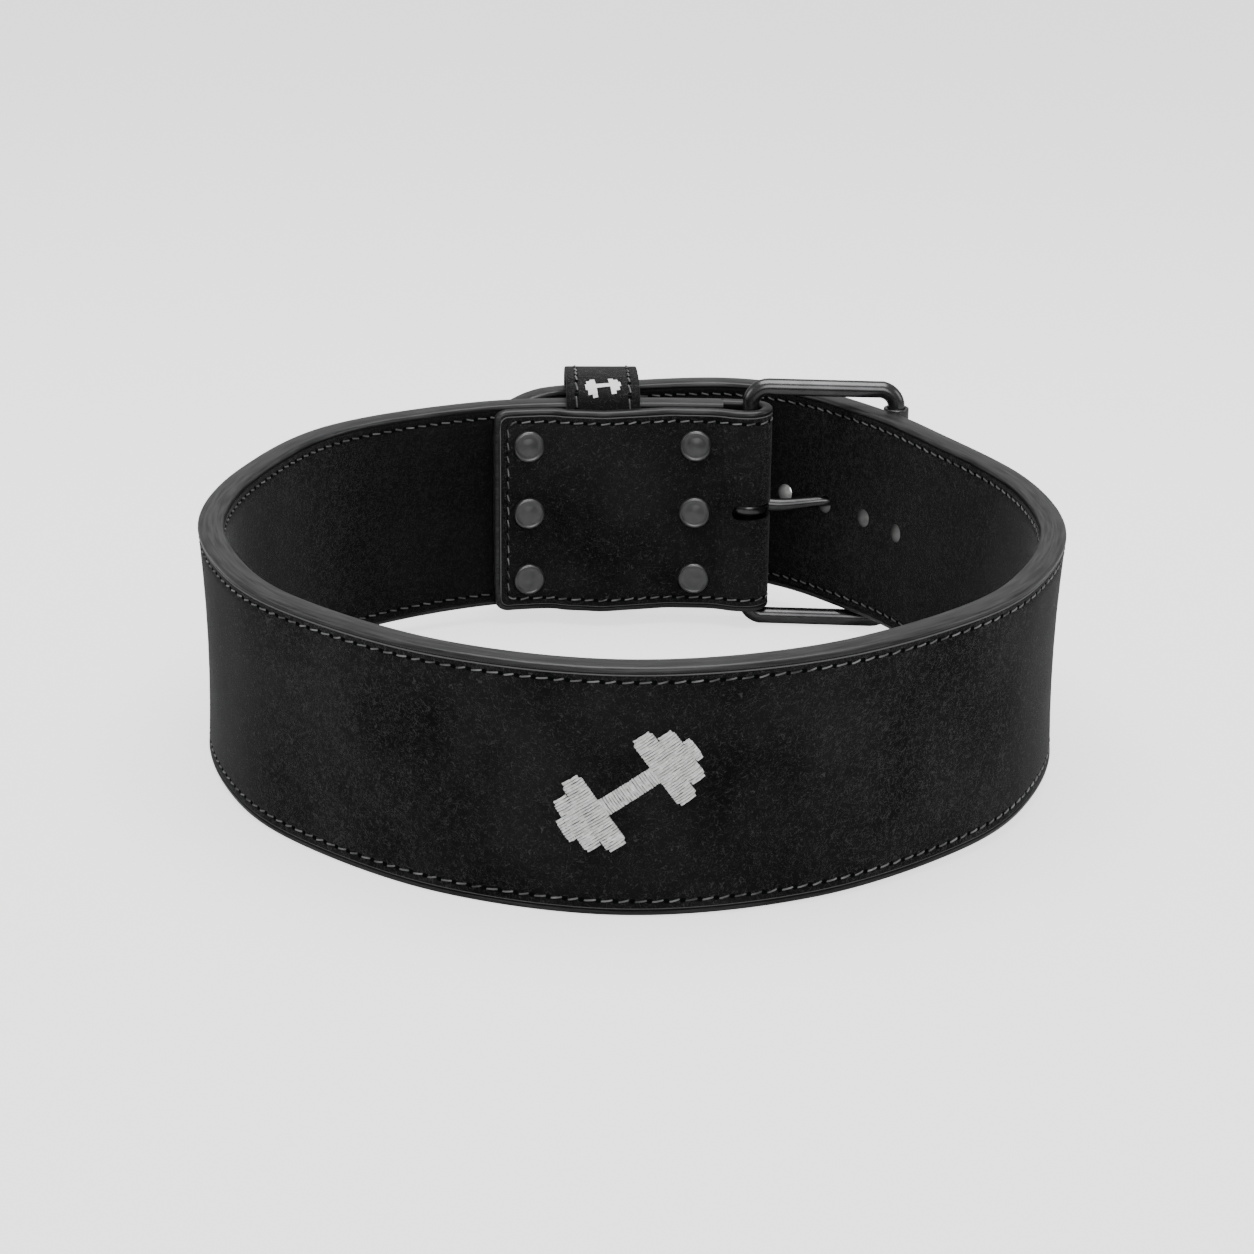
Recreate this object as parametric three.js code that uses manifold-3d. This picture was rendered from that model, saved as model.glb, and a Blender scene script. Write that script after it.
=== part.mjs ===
// Weightlifting belt, buckled and standing on its lower edge. Millimetres, +Z up.
// In the belt's own frame the waist is centred on Z, the plain back panel faces -Y, the buckle is
// at +Y, and the band's lower edge is at z = 0. The last step seats the whole belt on a surface.
import * as THREE from 'three';
import { mergeVertices } from 'three/addons/utils/BufferGeometryUtils.js';
import Module from 'manifold-3d';

const wasm = await Module();
wasm.setup();

// Ring, over the suede, and the band that makes it
const RING_WIDTH = 371;
const RING_DEPTH = 373;
const BAND_HEIGHT = 101.6;
const CORE_THICKNESS = 8.2;
const CORE_CHAMFER = 1.2;
const SUEDE_THICKNESS = 1;
const SUEDE_INSET = 1.3;
const GAP = 0.3;
const STATION_STEP = 15;

// The band's middle is drawn in between its edges, and its lower edge stands a little further in
const BAND_DISH = 1.8;
const SIDE_LEAN = 1.5;
const TONGUE_LEAN = 4;

// Buckle end: where the hinge bar stands, and the leather that folds round it
const HINGE_ACROSS = 56.8;
const FOLD_LEATHER = 3.9;
const PLY_SETBACK = 13;
const FLAP_LENGTH = 129;
const FLAP_DROP = 1.6;
const FLAP_CORNER = 7;
const FLAP_BULGE = 2.6;
const FOLD_EASE = 19;
const SLOT_HEIGHT = 7;
const SLOT_REACH = 8;

// Rivets
const RIVET_NEAR = 26.5;
const RIVET_FAR = 109.8;
const RIVET_PITCH = 33.7;
const RIVET_DROP = 2.4;
const CAP_RADIUS = 7.7;
const CAP_HEIGHT = 2.2;
const RIVET_CLEAR = 12;
const BURR_RADIUS = 5.6;
const BURR_HEIGHT = 1.2;
const SHANK_RADIUS = 2;

// Buckle
const WIRE_RADIUS = 4.1;
const FRAME_LENGTH = 70;
const FRAME_HEIGHT = 116.7;
const FRAME_BEND = 8.6;
const FRAME_SWING = -2.6;
const FRAME_BELOW = 6.2;
const ROLLER_RADIUS = 6.1;
const ROLLER_LIE = 30;
const EYE_THICKNESS = 3;
const EYE_HEIGHT = 5.6;
const PRONG_BASE = 2.7;
const PRONG_TIP = 1.8;

// Tongue, the free end that passes through the buckle
const TONGUE_SLACK = 28;
const KEEPER_SLACK = 17.8;
const TIP_LENGTH = 50.8;
const TIP_OVERLAP = 141;
const HOLE_RADIUS = 4.4;
const HOLE_PITCH = 28.6;
const HOLE_COUNT = 8;
const HOLE_DROP = 1.4;
const HOLES_BEHIND_PRONG = 2;

// Keeper
const KEEPER_WIDTH = 35.6;
const KEEPER_LEATHER = 2.4;
const KEEPER_CROWN = 7;
const KEEPER_RISE = 2;
const KEEPER_SHIFT = 3.6;

// Embroidered dumbbell on the back panel
const MOTIF_LENGTH = 62;
const MOTIF_TILT = 35;
const MOTIF_RAISE = 0.9;
const MOTIF_CENTRE = 51.2;

const SKIN = GAP + SUEDE_THICKNESS;
const BAND_THICKNESS = CORE_THICKNESS + 2 * SKIN;
const KEEPER_CENTRE = (RIVET_NEAR + RIVET_FAR) / 2 + KEEPER_SHIFT;
const HOLE_HEIGHT = BAND_HEIGHT / 2 - HOLE_DROP;
const Z = new THREE.Vector3(0, 0, 1);

// How far the frame's lower bend has leaned off the hinge bar's line at the fold's lower edge
const BEND_START = FRAME_BEND - FRAME_BELOW + FLAP_DROP;
const BEND_LEAN = FRAME_BEND - Math.sqrt(FRAME_BEND ** 2 - BEND_START ** 2);
const FOLD_BORE = WIRE_RADIUS + GAP + BEND_LEAN;

// Plan of the ring, from the hinge round to the right rear, as shares of its half width and depth
const RING_ROWS = [
  { across: -0.4, along: 0.947 },
  { across: -0.772, along: 0.711 },
  { across: -0.948, along: 0.338 },
  { across: -0.997, along: -0.031 },
  { across: -0.915, along: -0.366 },
  { across: -0.746, along: -0.635 },
  { across: -0.404, along: -0.898 },
  { across: 0, along: -1 },
  { across: 0.404, along: -0.898 },
  { across: 0.746, along: -0.635 },
  { across: 0.915, along: -0.366 },
  { across: 0.997, along: -0.031 },
  { across: 0.948, along: 0.338 },
  { across: 0.772, along: 0.711 },
];

function smooth(share) {
  const t = Math.min(Math.max(share, 0), 1);
  return t * t * (3 - 2 * t);
}

// A closed body through rings of points, each ring convex; the last ring joins the first if closed.
// Quads are split from their lower edge to their upper one, so that faces that lie side by side
// are split alike.
function loft(rings, closed = false) {
  const size = rings[0].length;
  const spans = closed ? rings.length : rings.length - 1;
  const index = [];
  for (let i = 0; i < spans; i += 1) {
    const here = i * size;
    const next = ((i + 1) % rings.length) * size;
    for (let j = 0; j < size; j += 1) {
      const k = (j + 1) % size;
      const split = rings[i][k].z < rings[i][j].z
        ? [here + j, here + k, next + j, here + k, next + k, next + j]
        : [here + j, here + k, next + k, here + j, next + k, next + j];
      index.push(...split);
    }
  }
  if (!closed) {
    const last = (rings.length - 1) * size;
    for (let j = 1; j < size - 1; j += 1) {
      index.push(0, j + 1, j, last, last + j, last + j + 1);
    }
  }
  const geometry = new THREE.BufferGeometry().setFromPoints(rings.flat());
  geometry.setIndex(index);
  return facingOut(geometry);
}

function signedVolume(geometry) {
  const place = geometry.getAttribute('position');
  const index = geometry.getIndex();
  const [a, b, c] = [new THREE.Vector3(), new THREE.Vector3(), new THREE.Vector3()];
  let total = 0;
  for (let i = 0; i < index.count; i += 3) {
    a.fromBufferAttribute(place, index.getX(i));
    b.fromBufferAttribute(place, index.getX(i + 1));
    c.fromBufferAttribute(place, index.getX(i + 2));
    total += a.dot(b.cross(c));
  }
  return total / 6;
}

function facingOut(geometry) {
  if (signedVolume(geometry) < 0) {
    geometry.getIndex().array.reverse();
  }
  return geometry;
}

function toSolid(geometry) {
  const bare = geometry.clone();
  bare.deleteAttribute('normal');
  bare.deleteAttribute('uv');
  const merged = facingOut(mergeVertices(bare, 1e-4));
  const vertProperties = new Float32Array(merged.getAttribute('position').array);
  const triVerts = new Uint32Array(merged.getIndex().array);
  return new wasm.Manifold(new wasm.Mesh({ numProp: 3, vertProperties, triVerts }));
}

function toGeometry(solid) {
  const { vertProperties, triVerts } = solid.getMesh();
  const geometry = new THREE.BufferGeometry();
  geometry.setAttribute('position', new THREE.BufferAttribute(vertProperties, 3));
  geometry.setIndex(new THREE.BufferAttribute(triVerts, 1));
  return geometry;
}

function cut(geometry, cutters) {
  let solid = toSolid(geometry);
  for (const cutter of cutters) {
    solid = solid.subtract(toSolid(cutter));
  }
  return toGeometry(solid);
}

// Turns a lathed shape so that its axis runs along the given direction, and sets it in place
function aim(geometry, direction, place) {
  const turn = new THREE.Quaternion().setFromUnitVectors(new THREE.Vector3(0, 1, 0), direction);
  return geometry.applyQuaternion(turn).translate(place.x, place.y, place.z);
}

function lathe(rows, sides) {
  const profile = rows.map(([radius, height]) => new THREE.Vector2(radius, height));
  return new THREE.LatheGeometry(profile, sides);
}

function circle(centre, sideways, upward, radius, sides) {
  return Array.from({ length: sides }, (_, i) => {
    const angle = (2 * Math.PI * i) / sides;
    return centre.clone()
      .addScaledVector(sideways, radius * Math.cos(angle))
      .addScaledVector(upward, radius * Math.sin(angle));
  });
}

// Buckle places in plan, worked out from the hinge
function buckleSpots() {
  const faceLine = RING_DEPTH / 2 - SKIN;
  const hinge = new THREE.Vector3(HINGE_ACROSS, faceLine - FOLD_LEATHER - FOLD_BORE, 0);
  const swing = THREE.MathUtils.degToRad(FRAME_SWING);
  const reach = new THREE.Vector3(Math.cos(swing), Math.sin(swing), 0);
  const outerBar = hinge.clone().addScaledVector(reach, FRAME_LENGTH);
  return { hinge, reach, outerBar };
}
const buckle = buckleSpots();

// The line that the core's outer face follows in plan, from the hinge round the waist to the tip.
// Runs are distances along it from the hinge.
function ringPoint({ across, along }) {
  const halfWidth = RING_WIDTH / 2 - SKIN;
  const halfDepth = RING_DEPTH / 2 - SKIN;
  return new THREE.Vector3(across * halfWidth, along * halfDepth, 0);
}

function stationOn(line, length, run) {
  const share = Math.min(run / length, 1);
  const place = line.getPointAt(share);
  const along = line.getTangentAt(share);
  return { run, place, along, out: new THREE.Vector3(along.y, -along.x, 0) };
}

function outFrom(station, distance, height = 0) {
  return station.place.clone().addScaledVector(station.out, distance).setZ(height);
}

function wallFrom(station, distance, height) {
  return outFrom(station, distance + bow(station, height), height);
}

// How far out the band's wall stands from its plan line at a height
function bow(station, height) {
  if (station.run === undefined) {
    return 0;
  }
  const middle = BAND_HEIGHT / 2;
  const intoBack = smooth((station.run - FLAP_LENGTH) / 60) * smooth((ROLLER_RUN - station.run) / 60);
  const dish = BAND_DISH * intoBack * (1 - ((height - middle) / middle) ** 2);
  const side = SIDE_LEAN * intoBack * Math.abs(station.out.x);
  const crossing = TONGUE_LEAN * smooth(1 - Math.abs(station.run - ROLLER_RUN - 25) / 110);
  return -dish - (side + crossing) * (1 - height / BAND_HEIGHT);
}

function bandLine() {
  const start = new THREE.Vector3(HINGE_ACROSS, RING_DEPTH / 2 - SKIN, 0);
  const behindKeeper = new THREE.Vector3(HINGE_ACROSS - 0.86 * KEEPER_CENTRE, start.y, 0);
  const ring = [start, behindKeeper, ...RING_ROWS.map(ringPoint)];
  const bare = new THREE.CatmullRomCurve3(ring, false, 'catmullrom', 0.5);
  const bareLength = bare.getLength();

  const lie = THREE.MathUtils.degToRad(ROLLER_LIE);
  const offRoller = ROLLER_RADIUS + GAP + SKIN;
  const underRoller = buckle.outerBar.clone();
  underRoller.x -= offRoller * Math.cos(lie);
  underRoller.y -= offRoller * Math.sin(lie);
  const crossing = start.clone();
  crossing.x += 0.4 * FRAME_LENGTH;
  crossing.y += BAND_THICKNESS + 0.42 * TONGUE_SLACK;
  const stands = [
    { run: 14, clear: TONGUE_SLACK },
    { run: KEEPER_CENTRE, clear: KEEPER_SLACK },
    { run: RIVET_FAR + BURR_RADIUS, clear: BURR_HEIGHT + 9 * GAP },
    { run: TIP_OVERLAP, clear: 3 * GAP },
  ];
  const lying = stands.map(({ run, clear }) => (
    outFrom(stationOn(bare, bareLength, run), clear + BAND_THICKNESS)
  ));
  const points = [...ring, underRoller, crossing, ...lying];
  return new THREE.CatmullRomCurve3(points, false, 'catmullrom', 0.5);
}

const line = bandLine();
line.arcLengthDivisions = 1200;
const BAND_RUN = line.getLength();
const bandStation = (run) => stationOn(line, BAND_RUN, run);
const ROLLER_RUN = runNearest(buckle.outerBar);

// The flap's clear distance from the band behind it: it springs off the hinge bar, is drawn down by
// each row of rivets, and bulges over the keeper that passes between them.
function flapStand(run) {
  const atHinge = 2 * (FOLD_LEATHER + FOLD_BORE) - FOLD_LEATHER - CORE_THICKNESS - SKIN;
  const spring = (atHinge - GAP) * (1 - smooth(run / FOLD_EASE));
  const fromCentre = run - KEEPER_CENTRE;
  const halfKeeper = KEEPER_WIDTH / 2;
  const room = fromCentre > 0
    ? RIVET_FAR - RIVET_CLEAR - KEEPER_CENTRE - halfKeeper
    : KEEPER_CENTRE - halfKeeper - RIVET_NEAR - RIVET_CLEAR;
  const shoulder = 1 - smooth((Math.abs(fromCentre) - halfKeeper) / room);
  const swell = FLAP_BULGE * (1 - smooth(Math.abs(fromCentre) / halfKeeper));
  return GAP + spring + (KEEPER_LEATHER + 2 * GAP) * shoulder + swell;
}

function flapStation(run) {
  const base = bandStation(run);
  const depth = CORE_THICKNESS + SKIN + flapStand(run) + FOLD_LEATHER;
  return { place: outFrom(base, -depth), out: base.out.clone().negate(), flapRun: run };
}

function foldStation(share) {
  const base = bandStation(0);
  const side = base.along.clone().negate();
  const angle = Math.PI * share;
  const out = base.out.clone().multiplyScalar(-Math.cos(angle)).addScaledVector(side, Math.sin(angle));
  const place = buckle.hinge.clone().addScaledVector(out, FOLD_LEATHER + FOLD_BORE);
  return { place, out, foldShare: share };
}

function evenRuns(from, to, step) {
  const count = Math.max(1, Math.round((to - from) / step));
  return Array.from({ length: count + 1 }, (_, i) => from + ((to - from) * i) / count);
}

function flapRuns() {
  const corner = [0.15, 1, 2.5, 5].map((share) => FLAP_LENGTH - share);
  return [...corner, ...evenRuns(6, FLAP_LENGTH - FLAP_CORNER, 6).reverse()];
}

const TIP_SHARES = [0.22, 0.42, 0.6, 0.76, 0.88, 0.95, 0.99, 0.9995];

function bandRuns(from) {
  const tipStart = BAND_RUN - TIP_LENGTH;
  const tip = TIP_SHARES.map((share) => tipStart + TIP_LENGTH * share);
  return [...evenRuns(from, tipStart, STATION_STEP), ...tip];
}

function foldedStations() {
  const folds = evenRuns(0, 1, 1 / 12).map(foldStation);
  const plyEnd = [4, 9, PLY_SETBACK, PLY_SETBACK + 1];
  const runs = [...plyEnd, ...bandRuns(PLY_SETBACK + 8)];
  return [...flapRuns().map(flapStation), ...folds, ...runs.map(bandStation)];
}

// Lower and upper edge of the leather at a station
function edges(station) {
  const middle = BAND_HEIGHT / 2;
  if (station.flapRun !== undefined) {
    const toEnd = Math.min(FLAP_LENGTH - station.flapRun, FLAP_CORNER);
    const round = FLAP_CORNER - Math.sqrt(FLAP_CORNER ** 2 - (FLAP_CORNER - toEnd) ** 2);
    return { low: round - FLAP_DROP, high: BAND_HEIGHT - FLAP_DROP - round };
  }
  if (station.foldShare !== undefined) {
    const drop = FLAP_DROP * (1 - station.foldShare);
    return { low: -drop, high: BAND_HEIGHT - drop };
  }
  const intoTip = Math.max(0, (station.run - BAND_RUN + TIP_LENGTH) / TIP_LENGTH);
  const half = middle * Math.sqrt(1 - intoTip ** 2);
  return { low: middle - half, high: middle + half };
}

// A leather section across the band between two distances out from the core's outer face
function sectionRing(station, inner, outer, inset, chamfer) {
  const { low, high } = edges(station);
  const room = (high - low) / 2;
  const edge = Math.min(inset, room * 0.8);
  const bottom = low + edge;
  const top = high - edge;
  const middle = (low + high) / 2;
  const c = Math.min(chamfer, (top - bottom) / 4);
  if (chamfer === 0) {
    return [
      [inner, bottom], [outer, bottom], [outer, middle], [outer, top], [inner, top], [inner, middle],
    ].map(([out, height]) => wallFrom(station, out, height));
  }
  return [
    [inner + c, bottom], [outer - c, bottom], [outer, bottom + c], [outer, middle], [outer, top - c],
    [outer - c, top], [inner + c, top], [inner, top - c], [inner, middle], [inner, bottom + c],
  ].map(([out, height]) => wallFrom(station, out, height));
}

function isSinglePly(station) {
  return station.run === undefined || station.run <= PLY_SETBACK;
}

// Cutters shared by the core and the suede

function holeRuns() {
  const pronged = runNearest(prongCrossing());
  return Array.from({ length: HOLE_COUNT }, (_, i) => pronged + (i - HOLES_BEHIND_PRONG) * HOLE_PITCH);
}

function runNearest(point) {
  const from = BAND_RUN - 2 * TIP_OVERLAP;
  let best = from;
  let nearest = Infinity;
  for (let run = from; run < BAND_RUN; run += 0.25) {
    const gap = outFrom(bandStation(run), -CORE_THICKNESS / 2).distanceTo(point);
    if (gap < nearest) {
      nearest = gap;
      best = run;
    }
  }
  return best;
}

function boreAt(station, height, radius, from, to, sides) {
  const rod = new THREE.CylinderGeometry(radius, radius, to - from, sides);
  return aim(rod, station.out, outFrom(station, (from + to) / 2, height));
}

function holeCutters() {
  const reach = BAND_THICKNESS + 2;
  return holeRuns().map((run) => (
    boreAt(bandStation(run), HOLE_HEIGHT, HOLE_RADIUS, -reach, reach, 12)
  ));
}

function rivetSpots() {
  const heights = [-1, 0, 1].map((row) => BAND_HEIGHT / 2 - RIVET_DROP + row * RIVET_PITCH);
  return [RIVET_FAR, RIVET_NEAR].flatMap((run) => heights.map((height) => ({ run, height })));
}

function rivetCutters() {
  const deep = CORE_THICKNESS + FOLD_LEATHER + 4 * SKIN;
  return rivetSpots().map(({ run, height }) => (
    boreAt(bandStation(run), height, SHANK_RADIUS + GAP, -deep, 2 * SKIN, 8)
  ));
}

function slotCutter() {
  const depth = 4 * (FOLD_LEATHER + FOLD_BORE);
  const width = SLOT_REACH + 2 * (FOLD_LEATHER + FOLD_BORE);
  const box = new THREE.BoxGeometry(width, depth, SLOT_HEIGHT);
  return box.translate(buckle.hinge.x - SLOT_REACH + width / 2, buckle.hinge.y, BAND_HEIGHT / 2);
}

// Prong: an eye round the hinge bar and a tapered shaft through the tongue to the roller
function prongCrossing() {
  const { hinge, outerBar } = buckle;
  return new THREE.Vector3(
    hinge.x + 0.61 * FRAME_LENGTH,
    outerBar.y + ROLLER_RADIUS + GAP + PRONG_TIP + 5.6,
    0,
  );
}

function prongShaft(grow) {
  const { hinge, outerBar } = buckle;
  const base = hinge.y + WIRE_RADIUS + GAP + PRONG_BASE;
  const onRoller = ROLLER_RADIUS + GAP + PRONG_TIP;
  const middle = BAND_HEIGHT / 2;
  const crossing = prongCrossing().setZ(HOLE_HEIGHT);
  const points = [
    new THREE.Vector3(hinge.x - 1, base, middle),
    new THREE.Vector3(hinge.x + 0.22 * FRAME_LENGTH, base + 0.4, middle),
    crossing,
    new THREE.Vector3(outerBar.x + 0.5, outerBar.y + onRoller + 0.2, HOLE_HEIGHT),
    new THREE.Vector3(outerBar.x + 8, outerBar.y + onRoller - 2.2, HOLE_HEIGHT),
  ];
  const path = new THREE.CatmullRomCurve3(points, false, 'catmullrom', 0.5);
  const shares = [...evenRuns(0, 0.97, 0.07), 1];
  const rings = shares.map((share) => {
    const along = path.getTangentAt(share);
    const sideways = new THREE.Vector3().crossVectors(along, Z).normalize();
    const upward = new THREE.Vector3().crossVectors(sideways, along);
    const taper = PRONG_BASE + (PRONG_TIP - PRONG_BASE) * smooth(share * 1.25);
    const radius = (share === 1 ? 0.6 * taper : taper) + grow;
    return circle(path.getPointAt(share), sideways, upward, radius, 10);
  });
  return loft(rings);
}

function prongGeometry() {
  const inside = WIRE_RADIUS + GAP;
  const half = EYE_HEIGHT / 2;
  const outside = inside + EYE_THICKNESS;
  const eye = aim(
    lathe([[inside, -half], [outside, -half], [outside, half], [inside, half], [inside, -half]], 20),
    Z,
    buckle.hinge.clone().setZ(BAND_HEIGHT / 2),
  );
  const bar = aim(
    new THREE.CylinderGeometry(inside, inside, 4 * half, 20),
    Z,
    buckle.hinge.clone().setZ(BAND_HEIGHT / 2),
  );
  return toGeometry(toSolid(prongShaft(0)).subtract(toSolid(bar)).add(toSolid(eye)));
}

// Band pieces
const leatherCuts = [...holeCutters(), ...rivetCutters(), slotCutter(), prongShaft(GAP)];

function bandCore() {
  const rings = foldedStations().map((station) => {
    const thickness = isSinglePly(station) ? FOLD_LEATHER : CORE_THICKNESS;
    return sectionRing(station, -thickness, 0, 0, CORE_CHAMFER);
  });
  return cut(loft(rings), leatherCuts);
}

function outerSuede() {
  const rings = foldedStations().map((station) => sectionRing(station, GAP, SKIN, SUEDE_INSET, 0));
  return cut(loft(rings), leatherCuts);
}

function innerSuede() {
  const face = -CORE_THICKNESS;
  const rings = bandRuns(PLY_SETBACK + 2).map(bandStation)
    .map((station) => sectionRing(station, face - SKIN, face - GAP, SUEDE_INSET, 0));
  return cut(loft(rings), leatherCuts);
}

// Rivet: a domed cap on the flap, a shank, and a flat burr on the band's outer face
function rivetGeometry({ run, height }) {
  const station = bandStation(run);
  const capSeat = -(CORE_THICKNESS + SKIN + flapStand(run) + FOLD_LEATHER + SKIN + GAP);
  const burrSeat = SKIN + GAP;
  const dome = [0.5, 0.86, 1].map((share) => [
    CAP_RADIUS * share,
    capSeat - CAP_HEIGHT * (0.35 + 0.65 * Math.sqrt(1 - share ** 2)),
  ]);
  const rows = [
    [0, capSeat - CAP_HEIGHT], ...dome, [CAP_RADIUS, capSeat], [SHANK_RADIUS, capSeat],
    [SHANK_RADIUS, burrSeat], [BURR_RADIUS, burrSeat], [BURR_RADIUS - 0.4, burrSeat + BURR_HEIGHT],
    [0, burrSeat + BURR_HEIGHT],
  ];
  return aim(lathe(rows, 12), station.out, station.place.clone().setZ(height));
}

// Buckle frame: one round wire bent to a rectangle with round corners
function frameGeometry() {
  const { hinge, reach } = buckle;
  const low = -FRAME_BELOW;
  const high = FRAME_HEIGHT - FRAME_BELOW;
  const corners = [
    { along: FRAME_LENGTH - FRAME_BEND, height: low + FRAME_BEND, from: -90 },
    { along: FRAME_LENGTH - FRAME_BEND, height: high - FRAME_BEND, from: 0 },
    { along: FRAME_BEND, height: high - FRAME_BEND, from: 90 },
    { along: FRAME_BEND, height: low + FRAME_BEND, from: 180 },
  ];
  const acrossWire = new THREE.Vector3().crossVectors(Z, reach);
  const rings = corners.flatMap(({ along, height, from }) => (
    evenRuns(from, from + 90, 18).map((degrees) => {
      const angle = THREE.MathUtils.degToRad(degrees);
      const outward = reach.clone().multiplyScalar(Math.cos(angle)).addScaledVector(Z, Math.sin(angle));
      const centre = hinge.clone().addScaledVector(reach, along).setZ(height)
        .addScaledVector(outward, FRAME_BEND);
      return circle(centre, outward, acrossWire, WIRE_RADIUS, 12);
    })
  ));
  return loft(rings, true);
}

function rollerGeometry() {
  const inside = WIRE_RADIUS + GAP;
  const low = FRAME_BEND - FRAME_BELOW + GAP;
  const high = FRAME_HEIGHT - FRAME_BELOW - FRAME_BEND - GAP;
  const rows = [[inside, low], [ROLLER_RADIUS, low], [ROLLER_RADIUS, high], [inside, high], [inside, low]];
  return aim(lathe(rows, 20), Z, buckle.outerBar);
}

// Keeper: a leather loop round the band and the tongue. Its inner leg passes between the flap and
// the band, and its outer leg lies along the tongue. The loop is cut to one length, so it stands
// higher over the tongue's side that comes nearer to the band.
function tongueReach(base, from, to) {
  const runs = evenRuns(BAND_RUN - 2 * TIP_OVERLAP, BAND_RUN, 1);
  const faces = runs.map((run) => outFrom(bandStation(run), SKIN).sub(base.place));
  const inReach = faces.filter((face) => face.dot(base.along) > from && face.dot(base.along) < to);
  return Math.max(...inReach.map((face) => face.dot(base.out)));
}

function keeperOutline(inner, outer, low, crown) {
  const middle = (inner + outer) / 2;
  const half = (outer - inner) / 2;
  const round = 2;
  const arch = evenRuns(0, 180, 18).map((degrees) => {
    const angle = THREE.MathUtils.degToRad(degrees);
    const across = Math.cos(angle);
    const out = middle + half * Math.sign(across) * Math.abs(across) ** 0.7;
    return [out, BAND_HEIGHT + crown * Math.sin(angle) ** 0.8];
  });
  return [
    [inner, low + round], [inner + round / 3, low + round / 3], [inner + round, low],
    [outer - round, low], [outer - round / 3, low + round / 3], [outer, low + round],
    ...arch,
  ];
}

function keeperGeometry() {
  const base = bandStation(KEEPER_CENTRE);
  const half = KEEPER_WIDTH / 2;
  const sides = [-half, half].map((along) => bandStation(KEEPER_CENTRE + along));
  const bends = sides.map((side) => side.place.clone().sub(base.place).dot(base.out));
  const inside = -(CORE_THICKNESS + SKIN + GAP) + Math.min(0, ...bends);
  const nearHinge = tongueReach(base, -half - 1, -half + 4);
  const nearTip = tongueReach(base, half - 4, half + 1);
  const belly = tongueReach(base, -2, 2) - (nearHinge + nearTip) / 2;
  const skin = KEEPER_LEATHER;
  const looks = [
    { along: -half, outside: nearHinge + belly + GAP, crown: KEEPER_CROWN },
    { along: half, outside: nearTip + belly + GAP, crown: KEEPER_CROWN + KEEPER_RISE },
  ];
  const walls = looks.map(({ along, outside, crown }) => {
    const hull = keeperOutline(inside - skin, outside + skin, -GAP - skin, crown + skin);
    const hollow = keeperOutline(inside, outside, -GAP, crown);
    return [hull, hollow].map((rows) => rows.map(([out, height]) => (
      outFrom(base, out, height).addScaledVector(base.along, along)
    )));
  });
  const [[hullA, hollowA], [hullB, hollowB]] = walls;
  return loft(hullA.map((point, i) => [point, hullB[i], hollowB[i], hollowA[i]]), true);
}

// Embroidery: a dumbbell lying at a slant, raised on the outer suede of the back panel
function dumbbellShape() {
  const steps = [
    { along: 31, half: 5 },
    { along: 27.5, half: 12 },
    { along: 20.5, half: 16.5 },
    { along: 12, half: 3.6 },
  ];
  const quarter = steps.flatMap(({ along, half }, i) => {
    const inner = i + 1 < steps.length ? steps[i + 1].along : 0;
    return [[along, half], [inner, half]];
  });
  const upper = [...quarter, ...quarter.map(([along, half]) => [-along, half]).reverse()];
  const outline = [...upper, ...upper.map(([along, half]) => [along, -half]).reverse()];
  const corners = outline.filter(([along]) => along !== 0);
  return new THREE.Shape(corners.map(([along, half]) => new THREE.Vector2(along, half)));
}

function motifGeometry() {
  const front = frontRun();
  const reach = 0.62 * MOTIF_LENGTH;
  const plate = evenRuns(front - reach, front + reach, 6).map((run) => {
    const station = bandStation(run);
    return sectionRing(station, SKIN + GAP, SKIN + GAP + MOTIF_RAISE, 12, 0);
  });
  const prism = new THREE.ExtrudeGeometry(dumbbellShape(), { depth: 60, bevelEnabled: false });
  prism.rotateZ(THREE.MathUtils.degToRad(MOTIF_TILT));
  prism.rotateX(Math.PI / 2);
  prism.translate(0, 30 - RING_DEPTH / 2, MOTIF_CENTRE);
  return toGeometry(toSolid(loft(plate)).intersect(toSolid(prism)));
}

function frontRun() {
  let best = 0;
  let lowest = Infinity;
  for (let run = BAND_RUN * 0.3; run < BAND_RUN * 0.6; run += 0.5) {
    const { place } = bandStation(run);
    if (place.y < lowest) {
      lowest = place.y;
      best = run;
    }
  }
  return best;
}

// Materials
const materials = {
  leather: new THREE.MeshStandardMaterial({ color: 0x3c3c3d, roughness: 0.55, metalness: 0 }),
  suede: new THREE.MeshStandardMaterial({ color: 0x161617, roughness: 0.95, metalness: 0 }),
  steel: new THREE.MeshStandardMaterial({ color: 0x2a2a2b, roughness: 0.35, metalness: 0.9 }),
  rivet: new THREE.MeshStandardMaterial({ color: 0x3a3a3b, roughness: 0.45, metalness: 0.6 }),
  thread: new THREE.MeshStandardMaterial({ color: 0xe6e6e2, roughness: 0.7, metalness: 0 }),
};

function part(name, geometry, material) {
  const mesh = new THREE.Mesh(geometry, material);
  mesh.name = name;
  return mesh;
}

const belt = new THREE.Group();
belt.add(part('band_core', bandCore(), materials.leather));
belt.add(part('outer_suede', outerSuede(), materials.suede));
belt.add(part('inner_suede', innerSuede(), materials.suede));
belt.add(part('buckle_frame', frameGeometry(), materials.steel));
belt.add(part('buckle_roller', rollerGeometry(), materials.steel));
belt.add(part('buckle_prong', prongGeometry(), materials.steel));
belt.add(part('keeper_loop', keeperGeometry(), materials.suede));
belt.add(part('embroidered_dumbbell', motifGeometry(), materials.thread));
rivetSpots().forEach((spot, i) => belt.add(part(`rivet_${i + 1}`, rivetGeometry(spot), materials.rivet)));

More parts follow.
